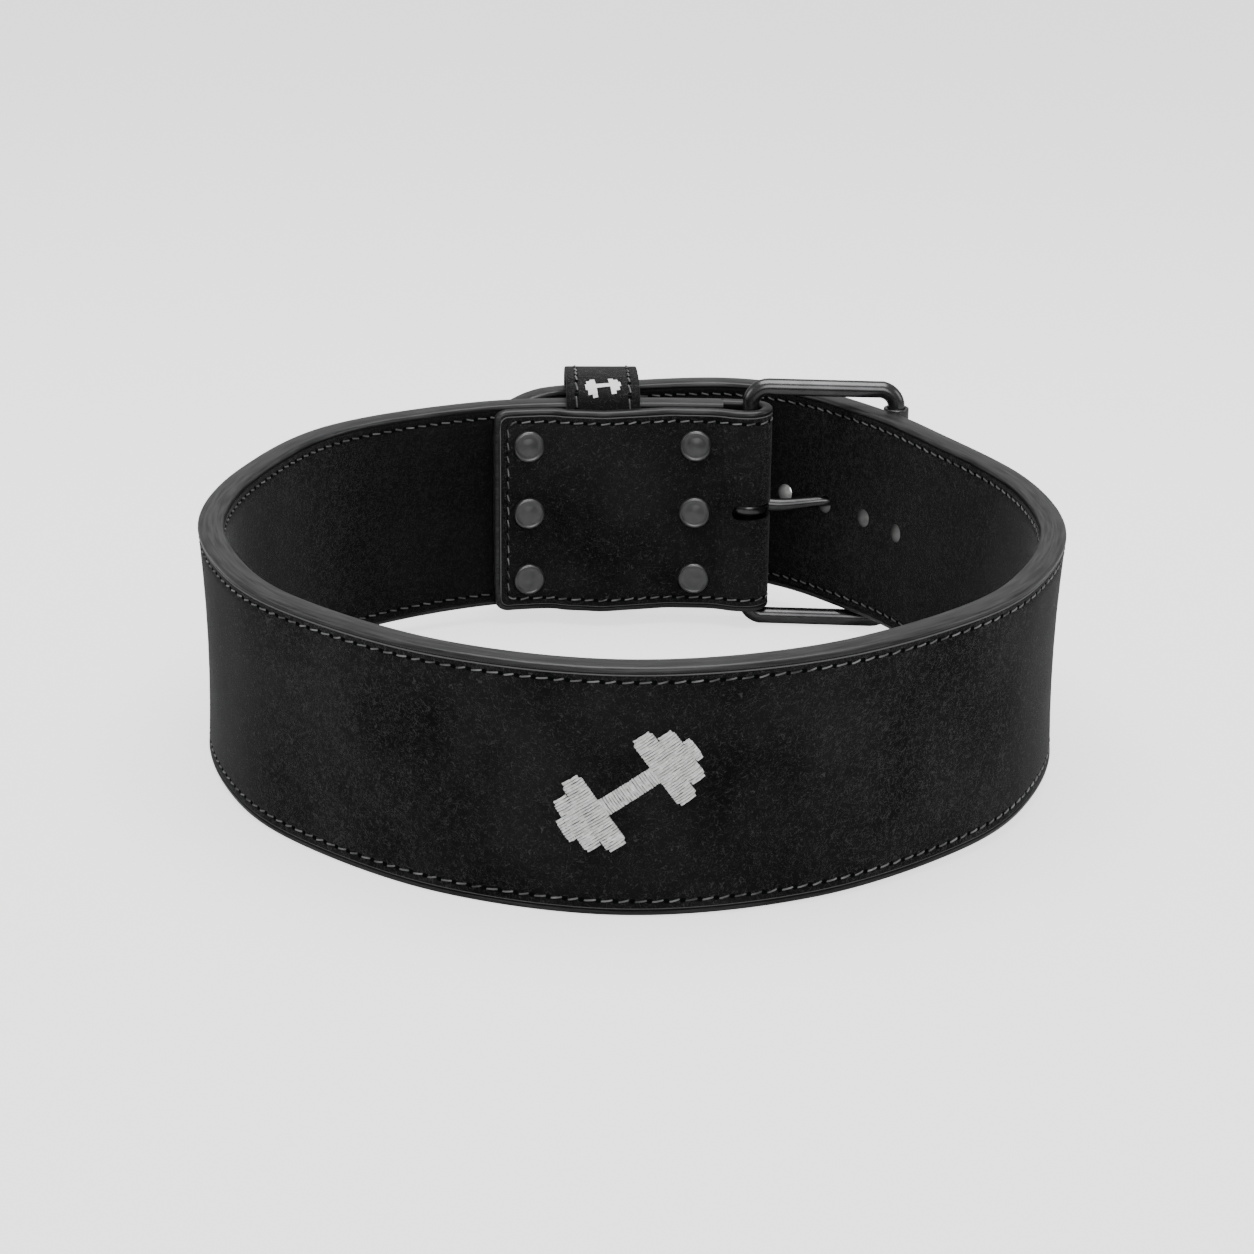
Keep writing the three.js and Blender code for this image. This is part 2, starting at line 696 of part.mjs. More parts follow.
// Seat: the belt stands on the buckle's lower bar and on the band's lower edge across from it
function seat(group) {
  const low = new THREE.Vector3().copy(buckle.hinge).addScaledVector(buckle.reach, FRAME_BEND);
  const lean = low.clone().normalize();
  const runs = evenRuns(0, BAND_RUN, STATION_STEP);
  const farEdge = Math.min(...runs.map((run) => bandStation(run).place.dot(lean))) + CORE_CHAMFER;
  const drop = FRAME_BELOW + WIRE_RADIUS;
  const tilt = Math.atan(drop / (low.dot(lean) - farEdge));
  group.quaternion.setFromAxisAngle(new THREE.Vector3(lean.y, -lean.x, 0), tilt);
  group.updateMatrixWorld(true);
  const box = new THREE.Box3().setFromObject(group, true);
  const centre = box.getCenter(new THREE.Vector3());
  group.position.set(-centre.x, -centre.y, -box.min.z);
}
seat(belt);

export default belt;
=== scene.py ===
# A leather weightlifting belt, buckled into a ring and standing on its lower edge. Metres, +Z up,
# the plain back panel faces -Y and the buckle is at +Y. Each strip of the belt is modelled lying
# flat, x along the belt, y up its width and z out of its outer face, and is then bent round.
import math
from bisect import bisect

import bmesh
import bpy
from mathutils import Matrix, Vector
from mathutils.geometry import interpolate_bezier


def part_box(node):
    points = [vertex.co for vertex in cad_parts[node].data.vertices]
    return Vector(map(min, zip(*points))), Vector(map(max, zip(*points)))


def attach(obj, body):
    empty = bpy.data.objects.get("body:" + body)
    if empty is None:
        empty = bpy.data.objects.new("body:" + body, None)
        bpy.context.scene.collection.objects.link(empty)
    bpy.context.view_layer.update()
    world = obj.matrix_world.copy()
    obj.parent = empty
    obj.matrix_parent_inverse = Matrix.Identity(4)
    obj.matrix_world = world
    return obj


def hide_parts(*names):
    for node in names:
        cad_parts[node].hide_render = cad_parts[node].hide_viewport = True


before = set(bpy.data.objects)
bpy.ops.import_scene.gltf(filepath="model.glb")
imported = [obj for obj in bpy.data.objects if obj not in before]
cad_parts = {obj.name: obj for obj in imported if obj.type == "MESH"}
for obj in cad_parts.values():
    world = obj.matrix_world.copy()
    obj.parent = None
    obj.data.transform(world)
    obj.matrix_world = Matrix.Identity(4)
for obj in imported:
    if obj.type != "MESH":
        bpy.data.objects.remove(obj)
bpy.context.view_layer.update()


# The line of the belt
# One strip of leather: the riveted flap, the fold round the hinge bar, once round the waist, under
# the roller, and back over the outside to the tip. The line is the outer face of the stiff leather.
ring_wide = 0.371
ring_deep = 0.373
band_height = 0.1016
leather_thick = 0.0082
suede_stand = 0.0013
clear = 0.0003
fold_leather = 0.0039
flap_drop = 0.0016
flap_length = 0.129
wire_radius = 0.0041
frame_bend = 0.0086
frame_below = 0.0062
frame_length = 0.07
frame_swing = math.radians(-2.6)
roller_radius = 0.0061
rivet_near = 0.0265
rivet_far = 0.1098
keeper_wide = 0.0356
keeper_leather = 0.0024
keeper_run = (rivet_near + rivet_far) / 2 + 0.0036

bend_start = frame_bend - frame_below + flap_drop
bend_lean = frame_bend - math.sqrt(frame_bend**2 - bend_start**2)
fold_radius = fold_leather + wire_radius + clear + bend_lean
band_thick = leather_thick + 2 * suede_stand
hinge = Vector((0.0568, ring_deep / 2 - suede_stand - fold_radius, 0))
reach = Vector((math.cos(frame_swing), math.sin(frame_swing), 0))
outer_bar = hinge + reach * frame_length


def smooth_knots(points):
    """A smooth line through points, as (left handle, point, right handle) rows."""
    knots = []
    for i, point in enumerate(points):
        before = points[i - 1] if i else 2 * point - points[i + 1]
        after = points[i + 1] if i + 1 < len(points) else 2 * point - points[i - 1]
        lean = (after - before) / 6
        knots.append((point - lean, point, point + lean))
    return knots


def walk(knots):
    """Close places along a line, and how far along it each one is."""
    places = []
    for (_, start, right), (left, end, _) in zip(knots, knots[1:]):
        places += interpolate_bezier(start, right, left, end, 120)[:-1]
    places.append(knots[-1][1])
    runs = [0.0]
    for here, there in zip(places, places[1:]):
        runs.append(runs[-1] + (there - here).length)
    return places, runs


def stand_at(walked, run):
    """Place, direction and outward side at a distance along a walked line."""
    places, runs = walked
    i = min(max(bisect(runs, run), 1), len(runs) - 1)
    share = (run - runs[i - 1]) / (runs[i] - runs[i - 1])
    along = (places[i] - places[i - 1]).normalized()
    return places[i - 1].lerp(places[i], share), along, Vector((along.y, -along.x, 0))


def ease(share):
    t = min(max(share, 0), 1)
    return t * t * (3 - 2 * t)


def flap_stand(run):
    """Clear distance between the flap and the band behind it."""
    at_hinge = 2 * fold_radius - fold_leather - leather_thick - suede_stand
    spring = (at_hinge - clear) * (1 - ease(run / 0.019))
    off = abs(run - keeper_run)
    half = keeper_wide / 2
    past_keeper = rivet_far - keeper_run if run > keeper_run else keeper_run - rivet_near
    shoulder = 1 - ease((off - half) / (past_keeper - half - 0.012))
    return clear + spring + (keeper_leather + 2 * clear) * shoulder + 0.0026 * (1 - ease(off / half))


ring_shares = [
    (-0.4, 0.947), (-0.772, 0.711), (-0.948, 0.338), (-0.997, -0.031), (-0.915, -0.366),
    (-0.746, -0.635), (-0.404, -0.898), (0, -1), (0.404, -0.898), (0.746, -0.635),
    (0.915, -0.366), (0.997, -0.031), (0.948, 0.338), (0.772, 0.711),
]
half_wide = ring_wide / 2 - suede_stand
half_deep = ring_deep / 2 - suede_stand
start = hinge + Vector((0, fold_radius, 0))
ring = [start, start - Vector((0.86 * keeper_run, 0, 0))]
ring += [Vector((across * half_wide, along * half_deep, 0)) for across, along in ring_shares]
bare = walk(smooth_knots(ring))
roller_clear = roller_radius + clear + suede_stand
lie = math.radians(30)
under_roller = outer_bar - roller_clear * Vector((math.cos(lie), math.sin(lie), 0))
crossing = start + Vector((0.4 * frame_length, band_thick + 0.42 * 0.028, 0))
tongue = []
for run, slack in ((0.014, 0.028), (keeper_run, 0.0178), (rivet_far + 0.0056, 0.0039), (0.141, 0.0009)):
    place, along, out = stand_at(bare, run)
    tongue.append(place + out * (band_thick + slack))
band_knots = smooth_knots(ring + [under_roller, crossing] + tongue)
band_walk = walk(band_knots)
band_run = band_walk[1][-1]

flap_runs = [
    0.129, 0.118, rivet_far, 0.101, 0.095, 0.0895, 0.08, keeper_run, 0.062, 0.054, 0.046, 0.0385,
    0.0325, rivet_near, 0.019, 0.013, 0.007, 0,
]
flap_line = []
for run in flap_runs:
    place, along, out = stand_at(band_walk, run)
    flap_line.append(place - out * (leather_thick + suede_stand + flap_stand(run) + fold_leather))
flap_knots = smooth_knots(flap_line)
flap_walk = walk(flap_knots)

across = Vector((1, 0, 0))
back = Vector((0, 1, 0))
round_handle = 0.5523 * fold_radius
fold_start = hinge - back * fold_radius
fold_side = hinge + across * fold_radius
knots = flap_knots[:-1]
knots.append((fold_start - across * 0.0023, fold_start, fold_start + across * round_handle))
knots.append((fold_side - back * round_handle, fold_side, fold_side + back * round_handle))
knots.append((start + across * round_handle, start, band_knots[0][2]))
knots += band_knots[1:]
belt_walk = walk(knots)
belt_length = belt_walk[1][-1]
hinge_run = belt_length - band_run
flap_run = hinge_run - math.pi * fold_radius

belt_line = bpy.data.objects.new("belt_line", bpy.data.curves.new("belt_line", "CURVE"))
bpy.context.scene.collection.objects.link(belt_line)
belt_line.data.dimensions = "2D"
belt_line.data.resolution_u = 64
spline = belt_line.data.splines.new("BEZIER")
spline.bezier_points.add(len(knots) - 1)
for point, (left, place, right) in zip(spline.bezier_points, knots):
    point.handle_left_type = "FREE"
    point.handle_right_type = "FREE"
    point.handle_left = left
    point.co = place
    point.handle_right = right

# The shape across the belt
# A lattice over the flat strip draws the middle of the band in, lets its lower edge stand further
# in than its upper one, and lowers the flap a little.
roller_run = min(
    (run for run in [hinge_run + 0.7 * band_run + 0.001 * i for i in range(int(300 * band_run))]),
    key=lambda run: (stand_at(belt_walk, run)[0] - outer_bar).length,
)


def bow(run, height):
    """How far out the wall stands from its plan line."""
    past_flap = run - hinge_run - flap_length
    into_back = ease(past_flap / 0.06) * ease((roller_run - run) / 0.06)
    dish = 0.0018 * into_back * (1 - (2 * height / band_height - 1) ** 2)
    side = 0.0015 * into_back * abs(stand_at(belt_walk, run)[2].x)
    crossing_lean = 0.004 * ease(1 - abs(run - roller_run - 0.025) / 0.11)
    return -dish - (side + crossing_lean) * (1 - height / band_height)


def drop(run):
    """How far below the band's height the flap lies."""
    return flap_drop * (1 - ease((run - flap_run) / (hinge_run - flap_run)))


def box_lattice(name, low, high, counts):
    """A lattice that fills a box, one unit of its own space to one unit of length."""
    cage = bpy.data.objects.new(name, bpy.data.lattices.new(name))
    bpy.context.scene.collection.objects.link(cage)
    cage.data.points_u, cage.data.points_v, cage.data.points_w = counts
    for side in "uvw":
        setattr(cage.data, "interpolation_type_" + side, "KEY_LINEAR")
    spans = [max(p.co[i] for p in cage.data.points) * 2 for i in range(3)]
    cage.location = (Vector(low) + Vector(high)) / 2
    cage.scale = [(high[i] - low[i]) / spans[i] for i in range(3)]
    return cage


belt_cage = box_lattice(
    "belt_cage", (0, -0.03, 0), (belt_length, 0.03, band_height), (121, 2, 7)
)
for point in belt_cage.data.points:
    run = belt_cage.location.x + point.co.x * belt_cage.scale.x
    height = belt_cage.location.z + point.co.z * belt_cage.scale.z
    shift = Vector((0, -bow(run, height), -drop(run)))
    point.co_deform = point.co + Vector((0, shift.y / belt_cage.scale.y, shift.z / belt_cage.scale.z))

# The seat
# The belt stands on the buckle's lower bar and on the band's edge across from it, so it tips by a
# degree and a half. Every piece is made upright and is tipped with the belt at the end.
low_bar = hinge + reach * frame_bend
lean = low_bar.normalized()
far_edge = min(place.dot(lean) for place in band_walk[0]) + 0.0012
tilt = math.atan((frame_below + wire_radius) / (low_bar.dot(lean) - far_edge))
turn = Matrix.Rotation(tilt, 4, Vector((lean.y, -lean.x, 0)))
roller_low = frame_bend - frame_below + clear
frame_height = 0.1167
roller_high = frame_height - frame_below - frame_bend - clear
roller_middle = outer_bar + Vector((0, 0, (roller_low + roller_high) / 2))
box_low, box_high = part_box("buckle_roller")
seat = Matrix.Translation((box_low + box_high) / 2 - turn @ roller_middle) @ turn
tip_centre = belt_length - band_height / 2
mid_height = band_height / 2
flap_corner = 0.007
edge_fade = 0.01


def only(piece):
    """Makes one piece the selected and active one."""
    bpy.ops.object.select_all(action="DESELECT")
    piece.select_set(True)
    bpy.context.view_layer.objects.active = piece


def apply_modifiers(piece):
    only(piece)
    for modifier in list(piece.modifiers):
        bpy.ops.object.modifier_apply(modifier=modifier.name)


def seat_piece(piece, upright=Matrix.Identity(4)):
    """Puts a finished piece in its place on the belt, and the place into its mesh."""
    only(piece)
    piece.matrix_world = seat @ upright
    bpy.ops.object.transform_apply(location=True, rotation=True, scale=True)


def depth_of(place):
    """Distance of a flat place from the nearest edge of the belt's outline."""
    if place.x > tip_centre:
        return mid_height - math.hypot(place.x - tip_centre, place.y - mid_height)
    across = mid_height - abs(place.y - mid_height)
    corner = flap_corner - place.x
    if corner <= 0:
        return across
    if across < flap_corner:
        return flap_corner - math.hypot(corner, flap_corner - across)
    return place.x


def bend_round(piece):
    """Stands a flat piece on its edge, shapes it with the cage and bends it along the belt.

    Its points keep their flat place, and how near they lie to the outline: 1 at it, 0 far from it.
    """
    piece.data.attributes.new("flat", "FLOAT_VECTOR", "POINT")
    piece.data.attributes.new("edge", "FLOAT", "POINT")
    flat = piece.data.attributes["flat"].data
    edge = piece.data.attributes["edge"].data
    for i, vertex in enumerate(piece.data.vertices):
        flat[i].vector = vertex.co
        edge[i].value = max(0, 1 - depth_of(vertex.co) / edge_fade)
    only(piece)
    piece.rotation_euler.x = math.radians(90)
    bpy.ops.object.transform_apply(rotation=True)
    cage = piece.modifiers.new("cage", "LATTICE")
    cage.object = belt_cage
    line = piece.modifiers.new("line", "CURVE")
    line.object = belt_line
    apply_modifiers(piece)
    seat_piece(piece)


# Camera
# A long lens at the photograph's height, looking down at the belt by about twenty degrees.
lens_turn = math.radians(0.63)
look_down = math.radians(19.92)
forward = Vector((0, math.cos(look_down), -math.sin(look_down)))
level = Vector((1, 0, 0))
upward = level.cross(forward)
right = math.cos(lens_turn) * level + math.sin(lens_turn) * upward
upward = -math.sin(lens_turn) * level + math.cos(lens_turn) * upward
view = Matrix((right, upward, -forward)).transposed().to_4x4()
view.translation = Vector((-0.0017, -1.25685, 0.5058))
camera = bpy.data.objects.new("camera", bpy.data.cameras.new("camera"))
bpy.context.scene.collection.objects.link(camera)
camera.data.sensor_width = 36
camera.data.lens = 3078.8 / 1254 * 36
camera.data.clip_start = 0.05
camera.matrix_world = seat @ view
bpy.context.scene.camera = camera

# Studio
# A plain pale floor that the camera sees a little brighter than it lights the belt, a dim white
# room, and broad softboxes above, at each side and in front.
pale = bpy.data.materials.new("pale_floor")
pale.use_nodes = True
shader = pale.node_tree.nodes["Principled BSDF"]
shader.inputs["Base Color"].default_value = (0.5, 0.5, 0.5, 1)
shader.inputs["Roughness"].default_value = 1
shader.inputs["Specular IOR Level"].default_value = 0
shader.inputs["Emission Color"].default_value = (1, 1, 1, 1)
seen = pale.node_tree.nodes.new("ShaderNodeLightPath")
glow = pale.node_tree.nodes.new("ShaderNodeMath")
glow.operation = "MULTIPLY"
glow.inputs[1].default_value = 1.62
pale.node_tree.links.new(seen.outputs["Is Camera Ray"], glow.inputs[0])
pale.node_tree.links.new(glow.outputs["Value"], shader.inputs["Emission Strength"])
bpy.ops.object.select_all(action="DESELECT")
bpy.ops.mesh.primitive_plane_add(size=60)
floor = bpy.context.object
floor.name = "floor"
floor.data.materials.append(pale)

room = bpy.data.worlds.new("room")
room.use_nodes = True
room.node_tree.nodes["Background"].inputs["Color"].default_value = (1, 1, 1, 1)
room.node_tree.nodes["Background"].inputs["Strength"].default_value = 0.5
bpy.context.scene.world = room

lights = [
    ("softbox_top", (0.0, 0.1, 1.5), 1.3, 34),
    ("softbox_left", (-1.6, -0.1, 0.7), 0.8, 6),
    ("softbox_right", (1.6, 0.0, 0.7), 0.8, 6),
    ("softbox_front", (0.2, -2.2, 1.1), 1.4, 24),
]
for name, place, size, power in lights:
    lamp = bpy.data.objects.new(name, bpy.data.lights.new(name, "AREA"))
    bpy.context.scene.collection.objects.link(lamp)
    lamp.data.size = size
    lamp.data.energy = power
    lamp.location = place
    aim = Vector((0, 0, 0.05)) - Vector(place)
    lamp.rotation_euler = aim.to_track_quat("-Z", "Y").to_euler()


# Suede
# Nearly black split leather, brushed to a nap: short curled fibres, a little lighter than the rest,
# on soft cloudy patches. It is painted darker on the belt's inner side, as shade, and a thin pale
# line of painted highlight runs along its edge on the outer face.
suede = bpy.data.materials.new("suede")
suede.use_nodes = True
nodes = suede.node_tree.nodes
links = suede.node_tree.links
shader = nodes["Principled BSDF"]
shader.inputs["Roughness"].default_value = 0.9
shader.inputs["Specular IOR Level"].default_value = 0.06
shader.inputs["Sheen Weight"].default_value = 0.1
shader.inputs["Sheen Roughness"].default_value = 0.35
coords = nodes.new("ShaderNodeTexCoord")


def noise(source, scale, detail=2.0, distortion=0.0, roughness=0.5):
    """A noise pattern over the given coordinates; returns its grey output."""
    texture = nodes.new("ShaderNodeTexNoise")
    texture.inputs["Scale"].default_value = scale
    texture.inputs["Detail"].default_value = detail
    texture.inputs["Distortion"].default_value = distortion
    texture.inputs["Roughness"].default_value = roughness
    links.new(source, texture.inputs["Vector"])
    return texture.outputs["Fac"]


def remap(source, from_low, from_high, to_low=0.0, to_high=1.0):
    node = nodes.new("ShaderNodeMapRange")
    node.inputs["From Min"].default_value = from_low
    node.inputs["From Max"].default_value = from_high
    node.inputs["To Min"].default_value = to_low
    node.inputs["To Max"].default_value = to_high
    links.new(source, node.inputs["Value"])
    return node.outputs["Result"]


def combine(operation, first, second):
    """Arithmetic on two grey values, each a socket or a number."""
    node = nodes.new("ShaderNodeMath")
    node.operation = operation
    for value, socket in zip((first, second), node.inputs):
        if isinstance(value, (int, float)):
            socket.default_value = value
        else:
            links.new(value, socket)
    return node.outputs["Value"]


def paint(value, dark, light):
    """Blends two colours by a grey value, into the shader's base colour."""
    mix = nodes.new("ShaderNodeMix")
    mix.data_type = "RGBA"
    mix.inputs["A"].default_value = (*dark, 1)
    mix.inputs["B"].default_value = (*light, 1)
    links.new(value, mix.inputs["Factor"])
    links.new(mix.outputs["Result"], shader.inputs["Base Color"])


def emboss(value, strength, depth):
    bump = nodes.new("ShaderNodeBump")
    bump.inputs["Strength"].default_value = strength
    bump.inputs["Distance"].default_value = depth
    links.new(value, bump.inputs["Height"])
    links.new(bump.outputs["Normal"], shader.inputs["Normal"])


def kept(name, output):
    """A value that bend_round kept on the points of a piece."""
    attribute = nodes.new("ShaderNodeAttribute")
    attribute.attribute_name = name
    return attribute.outputs[output]


def flat_height():
    """How high a place was while its piece lay flat: 0 on the leather's outer face, less inward."""
    parts = nodes.new("ShaderNodeSeparateXYZ")
    links.new(kept("flat", "Vector"), parts.inputs["Vector"])
    return parts.outputs["Z"]


def curled(scale, gap_scale):
    """Thin curved lines, broken into short lengths."""
    contour = combine("SUBTRACT", noise(coords.outputs["Object"], scale, 1, 2.0), 0.5)
    lines = remap(combine("ABSOLUTE", contour, 0), 0.0, 0.02, 1, 0)
    return combine("MULTIPLY", lines, remap(noise(coords.outputs["Object"], gap_scale), 0.4, 0.48))


nap = combine("MAXIMUM", curled(260, 340), curled(340, 420))
clouds = remap(noise(coords.outputs["Object"], 22, 3), 0.35, 0.65)
tone = combine("ADD", combine("MULTIPLY", nap, 0.3), combine("MULTIPLY", clouds, 0.07))
# Painted shade: on the belt's inner face the suede's tone is cut to about a third of the outer face's.
outside = remap(flat_height(), -0.003, -0.002)
tone = combine("MULTIPLY", tone, remap(outside, 0, 1, 0.3, 0.92))
# Painted highlight: a thin pale line along the suede's edge where it meets the rim, on the outer face
# only.
painted_edge_highlight = combine("MULTIPLY", remap(kept("edge", "Fac"), 0.67, 0.69), outside)
paint(combine("ADD", tone, painted_edge_highlight), (0.0038, 0.0038, 0.0039), (0.14, 0.14, 0.142))
emboss(nap, 0.6, 0.0003)

# Painted leather
# Smooth grey edge paint with faint streaks that run along the belt. Off the rim it is painted black,
# as shade in the crease where the rim meets the suede and on the walls of the slot.
leather = bpy.data.materials.new("painted_leather")
leather.use_nodes = True
nodes = leather.node_tree.nodes
links = leather.node_tree.links
shader = nodes["Principled BSDF"]
shader.inputs["Roughness"].default_value = 0.34
shader.inputs["Specular IOR Level"].default_value = 0.3
stretch = nodes.new("ShaderNodeMapping")
stretch.inputs["Scale"].default_value = (0.05, 1, 1)
links.new(kept("flat", "Vector"), stretch.inputs["Vector"])
streaks = noise(stretch.outputs["Vector"], 1100, 3)
# Painted shade: off the rim the leather is black, in the crease by the suede and in the slot.
on_rim = remap(kept("edge", "Fac"), 0.775, 0.79)
tone = combine("MULTIPLY", remap(streaks, 0.35, 0.65, 0.15, 1), on_rim)
paint(tone, (0.002, 0.002, 0.002), (0.03, 0.03, 0.031))
emboss(streaks, 0.3, 0.0002)


# Leather core
# The stiff middle of the belt, whose painted edge shows all round as a smooth grey rim that stands
# a little proud of the suede. Holes are punched through the tongue, and a slot through the fold.
core_top = 0.0009
rim_wide = 0.002
rim_rise = 0.0006
rim_round = 0.0016
ply_setback = 0.013
hole_radius = 0.0044
hole_height = mid_height - 0.0014
hole_pitch = 0.0286
slot_height = 0.007
slot_reach = 0.008
ply_overlap = 0.001
row_long = 0.04
row_short = 0.003


def pick(piece, test, kind="VERT"):
    """In edit mode, selects the vertices, edges or faces that pass a test."""
    bpy.ops.mesh.select_mode(type=kind)
    bpy.ops.mesh.select_all(action="DESELECT")
    mesh = bmesh.from_edit_mesh(piece.data)
    group = {"VERT": mesh.verts, "EDGE": mesh.edges, "FACE": mesh.faces}[kind]
    for item in group:
        item.select = test(item)
    mesh.select_flush_mode()
    bmesh.update_edit_mesh(piece.data)


def runs_along(edge):
    return abs(edge.verts[0].co.y - edge.verts[1].co.y) < 1e-6


def flat_strip(name, from_run, to_run, depths, top):
    """A flat strip of the belt with rows of faces that follow its long edges at given depths."""
    bpy.ops.object.select_all(action="DESELECT")
    bpy.ops.mesh.primitive_plane_add(size=1)
    piece = bpy.context.object
    piece.name = name
    edge = depths[0]
    first = edge if from_run == 0 else from_run
    piece.scale = (to_run - first, band_height - 2 * edge, 1)
    piece.location = ((to_run + first) / 2, mid_height, top)
    bpy.ops.object.transform_apply(location=True, scale=True)
    bpy.ops.object.mode_set(mode="EDIT")
    for row in [mid_height] + [y for depth in depths[1:] for y in (depth, band_height - depth)]:
        bpy.ops.mesh.select_all(action="SELECT")
        bpy.ops.mesh.bisect(plane_co=(0, row, 0), plane_no=(0, 1, 0))
    if from_run == 0:
        for column in depths[1:] + [0.004, 0.0055, flap_corner, 0.009]:
            bpy.ops.mesh.select_all(action="SELECT")
            bpy.ops.mesh.bisect(plane_co=(column, 0, 0), plane_no=(1, 0, 0))
    for longest, limit in ((to_run - from_run, row_long), (row_long, row_short)):
        pick(piece, lambda e: runs_along(e) and e.calc_length() > limit, "EDGE")
        bpy.ops.mesh.subdivide(number_cuts=int(longest / limit))
    bpy.ops.object.mode_set(mode="OBJECT")
    return piece


def round_flap(piece):
    """Rounds the two corners of the flap's free end, row by row."""
    for vertex in piece.data.vertices:
        side = 1 if vertex.co.y > mid_height else -1
        along = flap_corner - vertex.co.x
        across = flap_corner - (mid_height - side * (vertex.co.y - mid_height))
        if along > 0 and across > 0:
            inward = max(along, across) / math.hypot(along, across)
            vertex.co.x = flap_corner - along * inward
            vertex.co.y = mid_height + side * (mid_height - flap_corner + across * inward)


def round_tip(piece):
    """Spins half of the last cross edge round into the belt's half-round tip."""
    only(piece)
    bpy.ops.object.mode_set(mode="EDIT")
    top = piece.data.vertices[0].co.z
    pick(piece, lambda v: v.co.x > tip_centre - 1e-5 and v.co.y > mid_height - 1e-5)
    bpy.ops.mesh.spin(
        steps=36, angle=math.pi, center=(tip_centre, mid_height, top), axis=(0, 0, 1)
    )
    bpy.ops.mesh.select_all(action="SELECT")
    bpy.ops.mesh.remove_doubles(threshold=1e-5)
    bpy.ops.mesh.normals_make_consistent(inside=False)
    bpy.ops.object.mode_set(mode="OBJECT")


def thicken(piece, thickness):
    """Gives a flat strip its thickness, downward from its top face."""
    if piece.data.polygons[0].normal.z < 0:
        piece.data.flip_normals()
    slab = piece.modifiers.new("slab", "SOLIDIFY")
    slab.thickness = thickness
    slab.offset = -1
    apply_modifiers(piece)


def raise_rim(piece, bottom, sides):
    """Lifts the rim a little above the faces that it borders, and rounds its corners."""
    only(piece)
    bpy.ops.object.mode_set(mode="EDIT")
    for face, lift in sides:
        pick(piece, lambda v: abs(v.co.z - face) < 1e-4 and depth_of(v.co) < rim_wide + 1e-4)
        bpy.ops.transform.translate(value=(0, 0, lift))
    heights = [face + lift for face, lift in sides]
    if len(sides) == 1:
        heights.append(bottom)
    pick(
        piece,
        lambda e: all(
            depth_of(v.co) < 1e-5 and min(abs(v.co.z - z) for z in heights) < 1e-5 for v in e.verts
        )
        and abs(e.verts[0].co.z - e.verts[1].co.z) < 1e-5,
        "EDGE",
    )
    bpy.ops.mesh.bevel(offset=rim_round, segments=3, profile=0.5)
    bpy.ops.object.mode_set(mode="OBJECT")


cut_leather = bpy.data.materials.new("cut_leather")
cut_leather.use_nodes = True
nodes = cut_leather.node_tree.nodes
links = cut_leather.node_tree.links
shader = nodes["Principled BSDF"]
shader.inputs["Roughness"].default_value = 0.6
coords = nodes.new("ShaderNodeTexCoord")
# Painted light and shade: the hole walls run from near-black at the inner face to pale grey at the
# outer face, where light comes through.
outward = remap(flat_height(), -0.0095, -0.003)
rough_cut = remap(noise(coords.outputs["Object"], 400, 3), 0.3, 0.7, 0.7, 1)
paint(combine("MULTIPLY", outward, rough_cut), (0.008, 0.008, 0.008), (0.5, 0.5, 0.49))

crossing_place = Vector((hinge.x + 0.61 * frame_length, outer_bar.y + roller_radius + 0.0077, 0))
prong_run = min(
    (hinge_run + 0.5 * band_run + 0.0005 * i for i in range(int(1000 * band_run))),
    key=lambda run: (stand_at(belt_walk, run)[0] - crossing_place).length,
)
bpy.ops.object.select_all(action="DESELECT")
holes = []
for i in range(-2, 6):
    bpy.ops.mesh.primitive_cylinder_add(
        vertices=24, radius=hole_radius, depth=0.03,
        location=(prong_run + hole_pitch * i, hole_height, 0),
    )
    hole = bpy.context.object
    hole.data.materials.append(cut_leather)
    holes.append(hole)
bpy.ops.mesh.primitive_cube_add(size=1)
slot = bpy.context.object
slot.data.materials.append(leather)
slot.scale = (math.pi * fold_radius + 2 * slot_reach, slot_height, 0.03)
slot.location = (flap_run + math.pi * fold_radius / 2, mid_height, 0)
bpy.ops.object.transform_apply(location=True, scale=True)
bpy.ops.object.mode_set(mode="EDIT")
pick(slot, lambda e: abs(e.verts[0].co.z - e.verts[1].co.z) > 0.02, "EDGE")
bpy.ops.mesh.bevel(offset=slot_height / 2 - 0.0001, segments=5, profile=0.5)
bpy.ops.object.mode_set(mode="OBJECT")
for hole in holes:
    hole.select_set(True)
bpy.ops.object.join()
punch = bpy.context.object
punch.name = "punch"


def punch_holes(piece):
    """Cuts the holes and the slot, and turns to smooth shading with crisp edges."""
    cut = piece.modifiers.new("cut", "BOOLEAN")
    cut.object = punch
    cut.solver = "EXACT"
    cut.material_mode = "TRANSFER"
    apply_modifiers(piece)
    bpy.ops.object.shade_smooth_by_angle(angle=math.radians(40))


core_rows = [0, rim_wide, rim_wide + 0.0003, 0.014, 0.034]
core_bottom = -leather_thick - core_top
core = flat_strip("leather_core", hinge_run + ply_setback, tip_centre, core_rows, core_top)
core.data.materials.append(leather)
round_tip(core)
thicken(core, core_top - core_bottom)
raise_rim(core, core_bottom, [(core_top, rim_rise), (core_bottom, -rim_rise)])
punch_holes(core)
bend_round(core)

fold = flat_strip("leather_fold", 0, hinge_run + ply_setback + ply_overlap, core_rows, core_top)
fold.data.materials.append(leather)
round_flap(fold)
thicken(fold, core_top + fold_leather)
raise_rim(fold, -fold_leather, [(core_top, rim_rise)])
punch_holes(fold)
bend_round(fold)
for piece in (core, fold):
    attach(piece, "root")
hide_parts("band_core")

# Suede faces
# Thin suede on both faces of the leather. It starts just inside the rim and dips along the line
# where the stitches pull it down.
suede_rows = [0.0028, 0.0032, 0.004, 0.0053, 0.006, 0.0067, 0.0079, 0.01, 0.02, 0.035]
suede_top = 0.0014
suede_thick = 0.0007
dips = [(0.0028, -0.0003), (0.0053, -0.0004), (0.006, -0.0004), (0.0067, -0.0004)]


